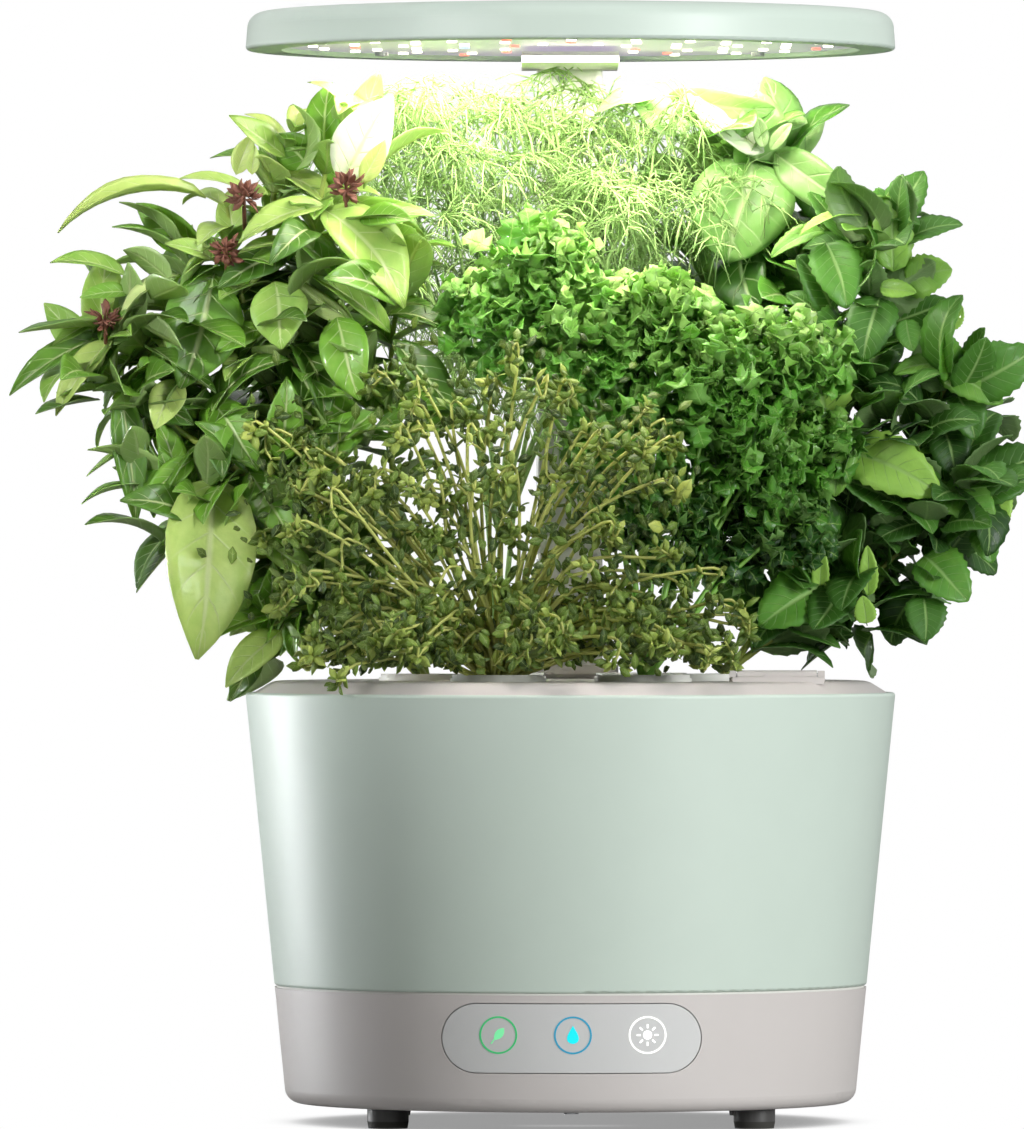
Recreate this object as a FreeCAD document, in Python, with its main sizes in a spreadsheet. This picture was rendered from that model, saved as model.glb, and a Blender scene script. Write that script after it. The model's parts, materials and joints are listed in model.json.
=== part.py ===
"""Countertop hydroponic garden: base, water bowl, grow deck with six pods, pump, sliding mast and LED lamp.

Millimetres, +Z up. The origin is on the countertop, on the bowl's axis, and the front faces -Y.
"""

import FreeCAD, Part
import itertools
import math
import os
import re

import Sketcher

doc = FreeCAD.newDocument("CountertopGarden")
sheet = doc.addObject("Spreadsheet::Sheet", "Sizes")

SIZES = {
    "board_thickness": 1.6,
    "cut_behind": 60.0,
    "cut_front": 160.0,
    "cut_through": 200.0,
    "fit": 0.3,
    "foot_pad_taper": 0.5,
    "recess_depth": 0.8,
    "recess_length": 3.2,
    "recess_width": 0.7,
    "screw_ease": 0.1,
    "screw_head": 1.6,
    "sign_pitch": 31.0,
    "sign_rise": 1.4,
    "sponge_height": 57.0,
    "vent_from": -52.0,
    "vent_length": 40.0,
    "vent_pitch": 5.0,
    "vent_width": 2.0,
    # bowl and base share one straight taper
    "rim_radius": 140.0,
    "rim_height": 185.0,
    "taper": 0.0991,
    "wall": 3.0,
    "seam_height": 58.2,
    "seam_gap": 0.8,
    "foot_height": 8.4,
    "foot_pad_height": 3.0,
    "foot_radius": 8.85,
    "foot_spread_x": 78.0,
    "foot_spread_y": 70.0,
    "base_corner": 6.5,
    "service_radius": 86.0,
    "plate_flange": 6.0,
    "bowl_floor": 66.0,
    "cover_drop": 2.6,
    "ledge_height": 180.0,
    "ledge_width": 3.0,
    "screw_circle": 100.0,
    "screw_radius": 1.5,
    "screw_play": 0.1,
    "screw_head_radius": 3.0,
    # grow deck and pods
    "deck_radius": 136.1,
    "deck_top": 190.0,
    "deck_wall": 2.5,
    "deck_shoulder": 8.0,
    "pod_circle": 62.0,
    "pod_radius": 17.5,
    "pod_foot_radius": 13.0,
    "pod_floor": 128.0,
    "pod_wall": 1.5,
    "pod_flange_radius": 20.5,
    "stem_radius": 4.0,
    "flap_x": 88.0,
    "flap_y": -62.0,
    "flap_width": 34.0,
    "flap_depth": 25.0,
    "flap_thickness": 1.8,
    "flap_play": 0.4,
    "knuckle_radius": 2.2,
    "pin_radius": 1.0,
    "running_play": 0.06,
    # float
    "float_y": -112.0,
    "float_radius": 7.8,
    "float_height": 20.0,
    "float_stem": 2.0,
    "guide_radius": 9.6,
    "guide_bore": 8.3,
    "guide_floor": 70.0,
    # pump
    "pump_width": 44.0,
    "pump_depth": 36.0,
    "pump_height": 32.0,
    "chamber_radius": 11.0,
    "rotor_radius": 8.0,
    "rotor_length": 18.0,
    "blade_reach": 9.6,
    "riser_radius": 5.0,
    "riser_bore": 3.6,
    # mast
    "mast_y": 107.0,
    "mast_width": 29.0,
    "mast_depth": 11.0,
    "mast_wall": 1.5,
    "mast_play": 0.3,
    "mast_bottom": 157.0,
    "sleeve_wall": 2.6,
    "sleeve_floor": 12.0,
    "sleeve_top": 192.0,
    "channel_play": 0.6,
    "channel_wall": 2.5,
    "collar_border": 4.0,
    "collar_height": 4.0,
    # lamp
    "lamp_radius": 140.0,
    "lamp_under": 461.5,
    "lamp_top": 477.7,
    "lamp_wall": 2.5,
    "lamp_draft": 1.2,
    "lamp_corner": 7.0,
    "bezel_radius": 124.5,
    "bezel_thickness": 2.0,
    "board_thickness": 1.6,
    "led_radius": 2.1,
    "led_height": 0.8,
    "arm_width": 42.0,
    "arm_front": 12.0,
    "arm_back": 119.0,
    "arm_height": 4.6,
    # control panel
    "panel_width": 109.3,
    "panel_height": 29.1,
    "panel_z": 40.0,
    "panel_gap": 0.4,
    "panel_flange": 0.8,
    "lens_thickness": 1.6,
    "control_y": -107.0,
    # electronics and power inlet
    "board_z": 21.0,
    "jack_x": 46.0,
    "jack_z": 34.0,
    "jack_end": 113.5,
    "jack_radius": 5.2,
    "jack_bore": 2.75,
    "jack_pin": 1.05,
}
for row, (alias, value) in enumerate(SIZES.items(), start=1):
    sheet.set("A%d" % row, str(value))
    sheet.setAlias("A%d" % row, alias)
doc.recompute()

POD_ANGLES = (0, 60, 120, 180, 240, 300)
TURNS = {
    "Z": FreeCAD.Rotation(),
    "Y": FreeCAD.Rotation(FreeCAD.Vector(1, 0, 0), -90),
    "X": FreeCAD.Rotation(FreeCAD.Vector(0, 1, 0), 90),
}
nodes = {}


def bound(expression):
    """The same expression with each size named in the sheet."""
    def named(match):
        word = match.group()
        return "Sizes." + word if word in SIZES else word

    return re.sub(r"[a-z][a-z_]+", named, expression)


def bind(thing, prop, expression):
    thing.setExpression(prop, bound(str(expression)))


def place(thing, x, y, z, axis="Z"):
    thing.Placement = FreeCAD.Placement(FreeCAD.Vector(), TURNS[axis])
    bind(thing, "Placement.Base.x", x)
    bind(thing, "Placement.Base.y", y)
    bind(thing, "Placement.Base.z", z)


def node(name, thing):
    """Names a finished sub-part."""
    thing.Label = name
    nodes[name] = thing
    return thing


def cone_at(z):
    """Outer radius of the bowl and base at a height."""
    return "(rim_radius - taper * (rim_height - (%s)))" % z


def cylinder(name, radius, length, x="0", y="0", z="0", axis="Z"):
    thing = doc.addObject("Part::Cylinder", name)
    bind(thing, "Radius", radius)
    bind(thing, "Height", length)
    place(thing, x, y, z, axis)
    return thing


def cone(name, low, high, length, x="0", y="0", z="0"):
    thing = doc.addObject("Part::Cone", name)
    bind(thing, "Radius1", low)
    bind(thing, "Radius2", high)
    bind(thing, "Height", length)
    place(thing, x, y, z)
    return thing


def block(name, width, depth, height, x="0", y="0", z="0"):
    """A box centred on x and y that stands on z."""
    thing = doc.addObject("Part::Box", name)
    bind(thing, "Length", width)
    bind(thing, "Width", depth)
    bind(thing, "Height", height)
    place(thing, "%s - (%s) / 2" % (x, width), "%s - (%s) / 2" % (y, depth), z)
    return thing


def fuse(name, *things):
    thing = doc.addObject("Part::MultiFuse", name)
    thing.Shapes = list(things)
    return thing


def group(name, *things):
    """Separate solids that share one node."""
    thing = doc.addObject("Part::Compound", name)
    thing.Links = list(things)
    return thing


def cut(name, base, *tools):
    thing = doc.addObject("Part::Cut", name)
    thing.Base = base
    thing.Tool = tools[0] if len(tools) == 1 else fuse(name + "_tools", *tools)
    return thing


def common(name, first, second):
    thing = doc.addObject("Part::Common", name)
    thing.Base = first
    thing.Tool = second
    return thing


def around(radius, angle):
    """Centre expressions of a place on a circle about the bowl's axis."""
    return "%s * cos(%g)" % (radius, angle), "%s * sin(%g)" % (radius, angle)


def new_body(name):
    return doc.addObject("PartDesign::Body", name + "_body")


def sketch_on(body, role, lift="0"):
    sketch = body.newObject("Sketcher::SketchObject", body.Name + "_sketch")
    plane = [f for f in body.Origin.OriginFeatures if f.Role == role][0]
    sketch.AttachmentSupport = (plane, [""])
    sketch.MapMode = "FlatFace"
    bind(sketch, "AttachmentOffset.Base.z", lift)
    return sketch


def draw_polygon(sketch, points):
    """A closed outline whose corners are held by expressions."""
    count = len(points)
    first = sketch.GeometryCount
    guess = [
        FreeCAD.Vector(40 + 10 * math.cos(math.tau * i / count), 40 + 10 * math.sin(math.tau * i / count), 0)
        for i in range(count)
    ]
    for i in range(count):
        sketch.addGeometry(Part.LineSegment(guess[i], guess[(i + 1) % count]), False)
    for i in range(count):
        sketch.addConstraint(Sketcher.Constraint("Coincident", first + i, 2, first + (i + 1) % count, 1))
    for i, (across, up) in enumerate(points):
        for kind, start, expression in (("DistanceX", guess[i].x, across), ("DistanceY", guess[i].y, up)):
            made = sketch.addConstraint(Sketcher.Constraint(kind, first + i, 1, start))
            bind(sketch, "Constraints[%d]" % made, expression)


def draw_circle(sketch, radius, x, y):
    at = sketch.addGeometry(Part.Circle(FreeCAD.Vector(5, 5, 0), FreeCAD.Vector(0, 0, 1), 3), False)
    for kind, expression in (("DistanceX", x), ("DistanceY", y)):
        made = sketch.addConstraint(Sketcher.Constraint(kind, at, 3, 5.0))
        bind(sketch, "Constraints[%d]" % made, expression)
    made = sketch.addConstraint(Sketcher.Constraint("Radius", at, 3.0))
    bind(sketch, "Constraints[%d]" % made, radius)


def rectangle(sketch, width, depth, x="0", y="0"):
    left = "%s - (%s) / 2" % (x, width)
    right = "%s + (%s) / 2" % (x, width)
    near = "%s - (%s) / 2" % (y, depth)
    far = "%s + (%s) / 2" % (y, depth)
    draw_polygon(sketch, [(left, near), (right, near), (right, far), (left, far)])


def revolve(body, points):
    """Turns an outline of radius and height about Z."""
    sketch = sketch_on(body, "XZ_Plane")
    draw_polygon(sketch, points)
    turn = body.newObject("PartDesign::Revolution", body.Name + "_turned")
    turn.Profile = sketch
    turn.ReferenceAxis = (sketch, ["V_Axis"])
    turn.Angle = 360
    return turn


def pad(body, sketch, length, kind="PartDesign::Pad"):
    feature = body.newObject(kind, body.Name + "_" + kind.split("::")[1].lower())
    feature.Profile = sketch
    bind(feature, "Length", length)
    if kind.endswith("Pocket"):
        feature.Reversed = True  # cuts upwards, away from the sketch plane
    return feature


def pocket(body, sketch, length):
    doc.recompute()
    before = body.Shape.Volume
    feature = pad(body, sketch, length, "PartDesign::Pocket")
    doc.recompute()
    if feature.Shape.Volume > before - 1e-3:
        raise RuntimeError("%s cuts nothing" % feature.Name)
    return feature


def round_edges(body, base, radius, chosen):
    """Fillets the edges of base that a test picks by their middle and direction."""
    doc.recompute()
    picked = []
    for i, edge in enumerate(base.Shape.Edges, start=1):
        if chosen(edge):
            picked.append("Edge%d" % i)
    fillet = body.newObject("PartDesign::Fillet", body.Name + "_fillet")
    fillet.Base = (base, picked)
    bind(fillet, "Radius", radius)
    doc.recompute()
    return fillet


def ring_edge(height, radius, slack=0.6):
    """Picks a whole circular edge at a height and radius."""

    def chosen(edge):
        box = edge.BoundBox
        flat = box.ZLength < 0.01 and abs(box.ZMin - height) < slack
        return flat and abs(box.XMax - radius) < slack and abs(box.YMax - radius) < slack

    return chosen


def upright(edge):
    """Picks straight edges that stand along Z."""
    box = edge.BoundBox
    return box.XLength < 0.01 and box.YLength < 0.01 and box.ZLength > 0.5


def tube(name, width, depth, bore_width, bore_depth, low, length, corner, y="mast_y"):
    """A rectangular tube with rounded corners outside and inside."""
    body = new_body(name)
    outer = sketch_on(body, "XY_Plane", low)
    rectangle(outer, width, depth, "0", y)
    solid = pad(body, outer, length)
    rounded = round_edges(body, solid, corner, upright)
    inner = sketch_on(body, "XY_Plane", low)
    rectangle(inner, bore_width, bore_depth, "0", y)
    pocket(body, inner, length)
    return rounded.getParentGeoFeatureGroup()


def screw(name, x, y, z, length, up=True):
    """A pan-head screw with a cross recess. z is the face that its head rests on."""
    head_low = "%s - screw_head" % z if up else z
    shank_low = z if up else "%s - %s" % (z, length)
    head = cylinder(name + "_head", "screw_head_radius", "screw_head", x, y, head_low)
    shank = cylinder(name + "_shank", "screw_radius", length, x, y, shank_low)
    whole = fuse(name + "_whole", head, shank)
    slot_low = "%s - screw_head - 0.1" % z if up else "%s + screw_head - recess_depth + 0.1" % z
    slot = block(name + "_slot", "recess_length", "recess_width", "recess_depth", x, y, slot_low)
    cross = block(name + "_cross", "recess_width", "recess_length", "recess_depth", x, y, slot_low)
    return cut(name + "_recessed", whole, slot, cross)


def screws(name, spots, z, length, up=True):
    made = [screw("%s_%d" % (name, i), x, y, z, length, up) for i, (x, y) in enumerate(spots)]
    return node(name, group(name, *made))


def corners(x, y):
    return [("%s%s" % (sx, x), "%s%s" % (sy, y)) for sx in ("", "-") for sy in ("", "-")]


def pill(name, grow, low, high):
    """The control panel's outline as a prism along Y, grown all round."""
    half = "(panel_height / 2 + %s)" % grow
    reach = "(panel_width / 2 - panel_height / 2)"
    length = "%s - (%s)" % (high, low)
    centre = "(%s + %s) / 2" % (low, high)
    middle = block(name + "_middle", "2 * " + reach, length, "2 * " + half, "0", centre, "panel_z - " + half)
    left = cylinder(name + "_left", half, length, "-" + reach, low, "panel_z", "Y")
    right = cylinder(name + "_right", half, length, reach, low, "panel_z", "Y")
    return fuse(name, middle, left, right)


def panel_shell(name, outer, inner):
    """A ring of the base's own taper between two offsets from its outer face."""
    low = "panel_z - panel_height"
    high = "panel_z + panel_height"
    fat = cone(name + "_fat", cone_at(low) + outer, cone_at(high) + outer, "2 * panel_height", z=low)
    thin = cone(name + "_thin", cone_at(low) + inner, cone_at(high) + inner, "2 * panel_height", z=low)
    return cut(name, fat, thin)


def make_base():
    body = new_body("base_shell")
    floor = "foot_height"
    shelf = "seam_height - cover_drop"
    turned = revolve(
        body,
        [
            ("service_radius", floor),
            (cone_at(floor), floor),
            (cone_at("seam_height"), "seam_height"),
            (cone_at("seam_height") + " - wall", "seam_height"),
            (cone_at(shelf) + " - wall", shelf),
            (cone_at(shelf) + " - wall - ledge_width", shelf),
            (cone_at(shelf) + " - wall - ledge_width", shelf + " - 2"),
            (cone_at(shelf + " - 6") + " - wall", shelf + " - 6"),
            (cone_at(floor + " + wall") + " - wall", floor + " + wall"),
            ("service_radius", floor + " + wall"),
        ],
    )
    bottom = SIZES["rim_radius"] - SIZES["taper"] * (SIZES["rim_height"] - SIZES["foot_height"])
    round_edges(body, turned, "base_corner", ring_edge(SIZES["foot_height"], bottom))
    posts = sketch_on(body, "XY_Plane", "foot_pad_height")
    for x, y in corners("foot_spread_x", "foot_spread_y"):
        draw_circle(posts, "foot_radius", x, y)
    pad(body, posts, "foot_height - foot_pad_height + 1")
    window = pill("panel_window", "panel_gap", "-cut_front", "-90")
    jack_hole = cylinder("jack_hole", "jack_radius + 0.3", "60", "jack_x", "90", "jack_z", "Y")
    plate_holes = [
        cylinder("plate_hole_%d" % i, "screw_radius + screw_play", "10", x, y, "foot_height - 2")
        for i, (x, y) in enumerate(around("(service_radius + 3)", a) for a in (0, 90, 180, 270))
    ]
    seat = common(
        "lens_seat",
        panel_shell("seat_ring", " - wall", " - wall - ledge_width - 1"),
        pill("seat_pill", "panel_flange + fit", "-cut_front", "-cut_behind"),
    )
    node("base_shell", cut("base_shell", body, window, seat, jack_hole, *plate_holes))

    pads = []
    for i, (x, y) in enumerate(corners("foot_spread_x", "foot_spread_y")):
        tread = "foot_radius - foot_pad_taper"
        pads.append(cone("foot_pad_%d" % i, tread, "foot_radius", "foot_pad_height", x, y, "0"))
    node("rubber_feet", group("rubber_feet", *pads))

    step = cylinder("plate_step", "service_radius - 0.3", "wall + 0.1", "0", "0", "foot_height")
    flange = cylinder("plate_flange", "service_radius + plate_flange", "2", "0", "0", "foot_height + wall")
    stands = [
        cylinder("stand_%d" % i, "3", "board_z - foot_height - wall - 1", x, y, "foot_height + wall + 1")
        for i, (x, y) in enumerate(corners("39", "19"))
    ]
    pilot_holes = [
        cylinder("pilot_%d" % i, "screw_radius + screw_play", "10", x, y, "foot_height - 2")
        for i, (x, y) in enumerate(around("(service_radius + 3)", a) for a in (0, 90, 180, 270))
    ]
    vents = []
    for i in range(4):
        y = "vent_from + %d * vent_pitch" % i
        vents.append(block("vent_%d" % i, "vent_length", "vent_width", "10", "0", y, "foot_height - 2"))
    plate = fuse("plate_solid", step, flange, *stands)
    node("bottom_plate", cut("bottom_plate", plate, *pilot_holes, *vents))
    spots = [around("(service_radius + 3)", a) for a in (0, 90, 180, 270)]
    screws("bottom_screws", spots, "foot_height", "4.6")

    cover = cylinder(
        "cover_disc", cone_at("seam_height - cover_drop") + " - wall - 0.4", "2.5", z="seam_height - cover_drop"
    )
    sleeve_slot = block(
        "cover_slot",
        "mast_width + 2 * (mast_play + sleeve_wall + channel_play)",
        "mast_depth + 2 * (mast_play + sleeve_wall + channel_play)",
        "10",
        "0",
        "mast_y",
        "seam_height - 7",
    )
    cover_holes = [
        cylinder("cover_hole_%d" % i, "screw_radius + screw_play", "10", x, y, "seam_height - 7")
        for i, (x, y) in enumerate(around("screw_circle", a) for a in (30, 150, 210, 330))
    ]
    node("inner_cover", cut("inner_cover", cover, sleeve_slot, *cover_holes))
    outer = cylinder("gasket_outer", cone_at("seam_height") + " - 0.9", "seam_gap", "0", "0", "seam_height")
    inner_radius = cone_at("seam_height") + " - 2.6"
    inner = cylinder("gasket_inner", inner_radius, "seam_gap + 2", "0", "0", "seam_height - 1")
    node("seam_gasket", cut("seam_gasket", outer, inner))


def make_panel():
    skin = panel_shell("lens_skin", "", " - wall")
    face = common("lens_face", skin, pill("lens_pill", "0", "-cut_front", "-cut_behind"))
    back = common(
        "lens_back",
        panel_shell("lens_rear", " - wall", " - wall - lens_thickness"),
        pill("lens_flange", "panel_flange", "-cut_front", "-cut_behind"),
    )
    node("control_lens", fuse("control_lens", face, back))
    node("control_board", block("control_board", "92", "board_thickness", "24", "0", "control_y + 0.8", "panel_z - 12"))
    signs = ("-sign_pitch", "0.5", "sign_pitch + 1")
    springs = []
    for i, x in enumerate(signs):
        springs.append(cylinder("touch_%d" % i, "5", "5", x, "control_y - 5", "panel_z + sign_rise", "Y"))
    node("touch_springs", group("touch_springs", *springs))
    lights = [
        block("indicator_%d" % i, "3", "1.2", "2", x, "control_y - 0.6", "panel_z - 9") for i, x in enumerate(signs)
    ]
    node("indicator_leds", group("indicator_leds", *lights))


def make_electronics():
    node("main_board", block("main_board", "86", "46", "board_thickness", "0", "0", "board_z"))
    top = "board_z + 1.6"
    parts = [
        block("controller", "14", "14", "1.6", "-8", "4", top),
        block("transformer", "18", "15", "13", "26", "8", top),
        cylinder("capacitor_one", "5", "14", "-30", "10", top),
        cylinder("capacitor_two", "4", "11", "-30", "-6", top),
        block("pump_plug", "10", "6", "7", "6", "-15", top),
        block("lamp_plug", "12", "6", "7", "28", "-15", top),
        cylinder("buzzer", "6", "5", "-12", "-13", top),
    ]
    node("board_parts", group("board_parts", *parts))
    barrel = cylinder("jack_barrel", "jack_radius", "8", "jack_x", "jack_end - 8", "jack_z", "Y")
    case = block("jack_case", "13", "11", "12", "jack_x", "jack_end - 13", "jack_z - 6")
    bore = cylinder("jack_bore_cut", "jack_bore", "11", "jack_x", "jack_end - 10", "jack_z", "Y")
    node("power_jack", cut("power_jack", fuse("jack_solid", barrel, case), bore))
    pin = cylinder("jack_pin_rod", "jack_pin", "9", "jack_x", "jack_end - 10", "jack_z", "Y")
    node("jack_pin", pin)


def make_bowl():
    body = new_body("bowl")
    low = "(seam_height + seam_gap)"
    floor_top = "bowl_floor + wall"
    ledge = "ledge_height"
    turned = revolve(
        body,
        [
            ("0", "bowl_floor"),
            (cone_at("bowl_floor") + " - wall", "bowl_floor"),
            (cone_at(low) + " - wall", low),
            (cone_at(low), low),
            ("rim_radius", "rim_height"),
            ("rim_radius - wall", "rim_height"),
            (cone_at(ledge) + " - wall", ledge),
            (cone_at(ledge) + " - wall - ledge_width", ledge),
            (cone_at(ledge) + " - wall - ledge_width", ledge + " - 2"),
            (cone_at(ledge + " - 7") + " - wall", ledge + " - 7"),
            (cone_at(floor_top) + " - wall", floor_top),
            ("0", floor_top),
        ],
    )
    rim = SIZES["rim_radius"]
    lowest = rim - SIZES["taper"] * (SIZES["rim_height"] - SIZES["seam_height"] - SIZES["seam_gap"])
    rim_test = ring_edge(SIZES["rim_height"], rim)
    low_test = ring_edge(SIZES["seam_height"] + SIZES["seam_gap"], lowest)
    round_edges(body, turned, "1.4", lambda edge: rim_test(edge) or low_test(edge))
    slot_width = "mast_width + 2 * (mast_play + sleeve_wall + channel_play)"
    slot_depth = "mast_depth + 2 * (mast_play + sleeve_wall + channel_play)"
    channel = sketch_on(body, "XY_Plane", "bowl_floor")
    rectangle(channel, slot_width + " + 2 * channel_wall", slot_depth + " + 2 * channel_wall", "0", "mast_y")
    pad(body, channel, "deck_top - deck_wall - 1 - bowl_floor")
    bosses = sketch_on(body, "XY_Plane", low)
    for angle in (30, 150, 210, 330):
        draw_circle(bosses, "4", *around("screw_circle", angle))
    pad(body, bosses, "bowl_floor + 1 - " + low)
    passage = sketch_on(body, "XY_Plane", "bowl_floor - 5")
    rectangle(passage, slot_width, slot_depth, "0", "mast_y")
    pocket(body, passage, "140")
    pilots = sketch_on(body, "XY_Plane", low + " - 1")
    for angle in (30, 150, 210, 330):
        draw_circle(pilots, "screw_radius + screw_play", *around("screw_circle", angle))
    pocket(body, pilots, "bowl_floor + 1 - " + low)
    node("bowl", body)
    spots = [around("screw_circle", a) for a in (30, 150, 210, 330)]
    screws("bowl_screws", spots, "seam_height - cover_drop", "10")


def make_deck():
    body = new_body("grow_deck")
    under = "deck_top - deck_wall"
    turned = revolve(
        body,
        [
            ("0", under),
            ("deck_radius - deck_shoulder", under),
            ("deck_radius - deck_wall", "deck_top - 6.5"),
            ("deck_radius - deck_wall", "ledge_height"),
            ("deck_radius", "ledge_height"),
            ("deck_radius", "deck_top - 5"),
            ("deck_radius - deck_shoulder", "deck_top"),
            ("0", "deck_top"),
        ],
    )
    shoulder = SIZES["deck_radius"] - SIZES["deck_shoulder"]
    round_edges(body, turned, "9", ring_edge(SIZES["deck_top"], shoulder))
    raised = sketch_on(body, "XY_Plane", "deck_top - 1")
    rectangle(raised, "flap_width + 2 * flap_play + 4", "flap_depth + 2 * flap_play + 4", "flap_x", "flap_y")
    pad(body, raised, "3")
    recess = sketch_on(body, "XY_Plane", "deck_top")
    rectangle(recess, "flap_width + 2 * flap_play", "flap_depth + 2 * flap_play", "flap_x", "flap_y")
    pocket(body, recess, "4")
    holes = sketch_on(body, "XY_Plane", "deck_top - 10")
    for angle in POD_ANGLES:
        draw_circle(holes, "pod_radius + 0.5", *around("pod_circle", angle))
    draw_circle(holes, "float_stem + 0.5", "0", "float_y")
    rectangle(holes, "flap_width - 6", "flap_depth - 8", "flap_x", "flap_y - 2")
    rectangle(
        holes,
        "mast_width + 2 * (mast_play + sleeve_wall) + 0.6",
        "mast_depth + 2 * (mast_play + sleeve_wall) + 0.6",
        "0",
        "mast_y",
    )
    pocket(body, holes, "20")
    hinge_y = "flap_y + flap_depth / 2"
    hinge_z = "deck_top + knuckle_radius + 0.4"
    ears = []
    for side in ("-", "+"):
        x = "flap_x %s (flap_width / 2 + flap_play + 1.5)" % side
        ears.append(
            block(
                "ear_%s" % ("a" if side == "-" else "b"), "3",
                "2 * knuckle_radius", "2 * knuckle_radius + 0.2", x,
                hinge_y, "deck_top",
            )
        )
    well = cylinder(
        "knuckle_well", "knuckle_radius + 0.4", "flap_width + 2 * flap_play", "flap_x - flap_width / 2 - flap_play",
        hinge_y, hinge_z, "X",
    )
    pin_way = cylinder("pin_way", "pin_radius", "cut_behind", "flap_x - 30", hinge_y, hinge_z, "X")
    node("grow_deck", cut("grow_deck", fuse("deck_with_ears", body, *ears), well, pin_way))

    leaf = block(
        "flap_leaf", "flap_width", "flap_depth - 1", "flap_thickness", "flap_x", "flap_y - 0.5", "deck_top + 0.4"
    )
    lip = block("flap_lip", "12", "3", "1.2", "flap_x", "flap_y - flap_depth / 2 + 1.5", "deck_top + 2.1")
    knuckle = cylinder(
        "flap_knuckle", "knuckle_radius", "flap_width", "flap_x - flap_width / 2", hinge_y, hinge_z, "X"
    )
    eye = cylinder("flap_eye", "pin_radius + running_play", "cut_behind", "flap_x - 30", hinge_y, hinge_z, "X")
    node("fill_flap", cut("fill_flap", fuse("flap_solid", leaf, lip, knuckle), eye))
    pin = cylinder(
        "flap_pin_rod", "pin_radius", "flap_width + 2 * flap_play + 6", "flap_x - flap_width / 2 - flap_play - 3",
        hinge_y, hinge_z, "X",
    )
    node("flap_pin", pin)


def make_pods():
    sponges = []
    collars = []
    for number, angle in enumerate(POD_ANGLES, start=1):
        x, y = around("pod_circle", angle)
        tag = "pod_%d" % number
        depth = "deck_top - pod_floor"
        cup = cone(tag + "_cup", "pod_foot_radius", "pod_radius", depth, x, y, "pod_floor")
        flange = cylinder(tag + "_flange", "pod_flange_radius", "1.5", x, y, "deck_top")
        inside = cone(
            tag + "_inside", "pod_foot_radius - pod_wall", "pod_radius - pod_wall", depth + " + 1.6", x, y,
            "pod_floor + pod_wall",
        )
        windows = []
        for name, width, breadth in (("a", "60", "6"), ("b", "6", "60")):
            windows.append(block(tag + "_window_" + name, width, breadth, "40", x, y, "pod_floor + 6"))
        drain = cylinder(tag + "_drain", "6", "10", x, y, "pod_floor - 5")
        walls = fuse(tag + "_solid", cup, flange)
        node("pod_basket_%d" % number, cut(tag + "_basket", walls, inside, *windows, drain))
        plug = "pod_foot_radius - pod_wall - 0.6"
        plug_top = "pod_radius - pod_wall - 0.8"
        sponges.append(cone(tag + "_sponge", plug, plug_top, "sponge_height", x, y, "pod_floor + pod_wall + 0.2"))
        ring = cylinder(tag + "_ring", "pod_flange_radius - 0.8", "1.4", x, y, "deck_top + 1.5")
        mouth = cylinder(tag + "_mouth", "7", "4", x, y, "deck_top")
        collars.append(cut(tag + "_collar", ring, mouth))
    node("grow_sponges", group("grow_sponges", *sponges))
    node("pod_collars", group("pod_collars", *collars))


def make_pump():
    floor = "bowl_floor + wall"
    axis_z = floor + " + 15"
    front = "-pump_depth / 2"
    case = block("pump_case", "pump_width", "pump_depth", "pump_height", "0", "0", floor)
    chamber = cylinder("pump_chamber", "chamber_radius", "23", "0", front, axis_z, "Y")
    outlet = cylinder("pump_outlet", "riser_bore", "30", "0", front + " + 6", axis_z)
    node("pump_housing", cut("pump_housing", case, chamber, outlet))
    plate = block("pump_plate", "pump_width - 4", "3", "pump_height - 4", "0", front + " - 1.5", floor)
    slots = [
        block("inlet_slot_%d" % i, "2", "10", "12", "%g" % (-10 + 5 * i), front + " - 1.5", axis_z + " - 6")
        for i in range(5)
        if i != 2
    ]
    node("pump_cover", cut("pump_cover", plate, *slots))
    node("pump_filter", block("pump_filter", "34", "9", "24", "0", front + " - 8", floor + " + 0.2"))
    rod = cylinder("impeller_shaft_rod", "pin_radius", "23", "0", front, axis_z, "Y")
    node("impeller_shaft", rod)
    rotor = cylinder("rotor", "rotor_radius", "rotor_length", "0", front + " + 4.4", axis_z, "Y")
    hub = cylinder("hub", "3", "4", "0", front + " + 0.5", axis_z, "Y")
    blades = []
    for angle in (0, 60, 120):
        blade = block("blade_%d" % angle, "2 * blade_reach", "4", "1.4", "0", front + " + 2.5", "0")
        blade.Placement = FreeCAD.Placement(
            FreeCAD.Vector(), FreeCAD.Rotation(FreeCAD.Vector(0, 1, 0), angle)
        )
        bind(blade, "Placement.Base.x", "-blade_reach * cos(%d) - 0.7 * sin(%d)" % (angle, angle))
        bind(blade, "Placement.Base.y", front + " + 0.5")
        bind(blade, "Placement.Base.z", axis_z + " + blade_reach * sin(%d) - 0.7 * cos(%d)" % (angle, angle))
        blades.append(blade)
    eye = cylinder("rotor_eye", "pin_radius + running_play", "cut_behind", "0", front + " - 10", axis_z, "Y")
    node("impeller", cut("impeller", fuse("impeller_solid", rotor, hub, *blades), eye))
    riser = cylinder("riser_outer", "riser_radius", "deck_top - deck_wall - pump_height - bowl_floor - wall", "0",
                     front + " + 6", floor + " + pump_height")
    way = cylinder("riser_way", "riser_bore", "cut_through", "0", front + " + 6", floor + " + pump_height - 20")
    outlets = [
        block("riser_window_%d" % i, width, breadth, "8", "0", front + " + 6", "deck_top - deck_wall - 14")
        for i, (width, breadth) in enumerate((("20", "3"), ("3", "20")))
    ]
    node("riser_tube", cut("riser_tube", riser, way, *outlets))


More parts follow.
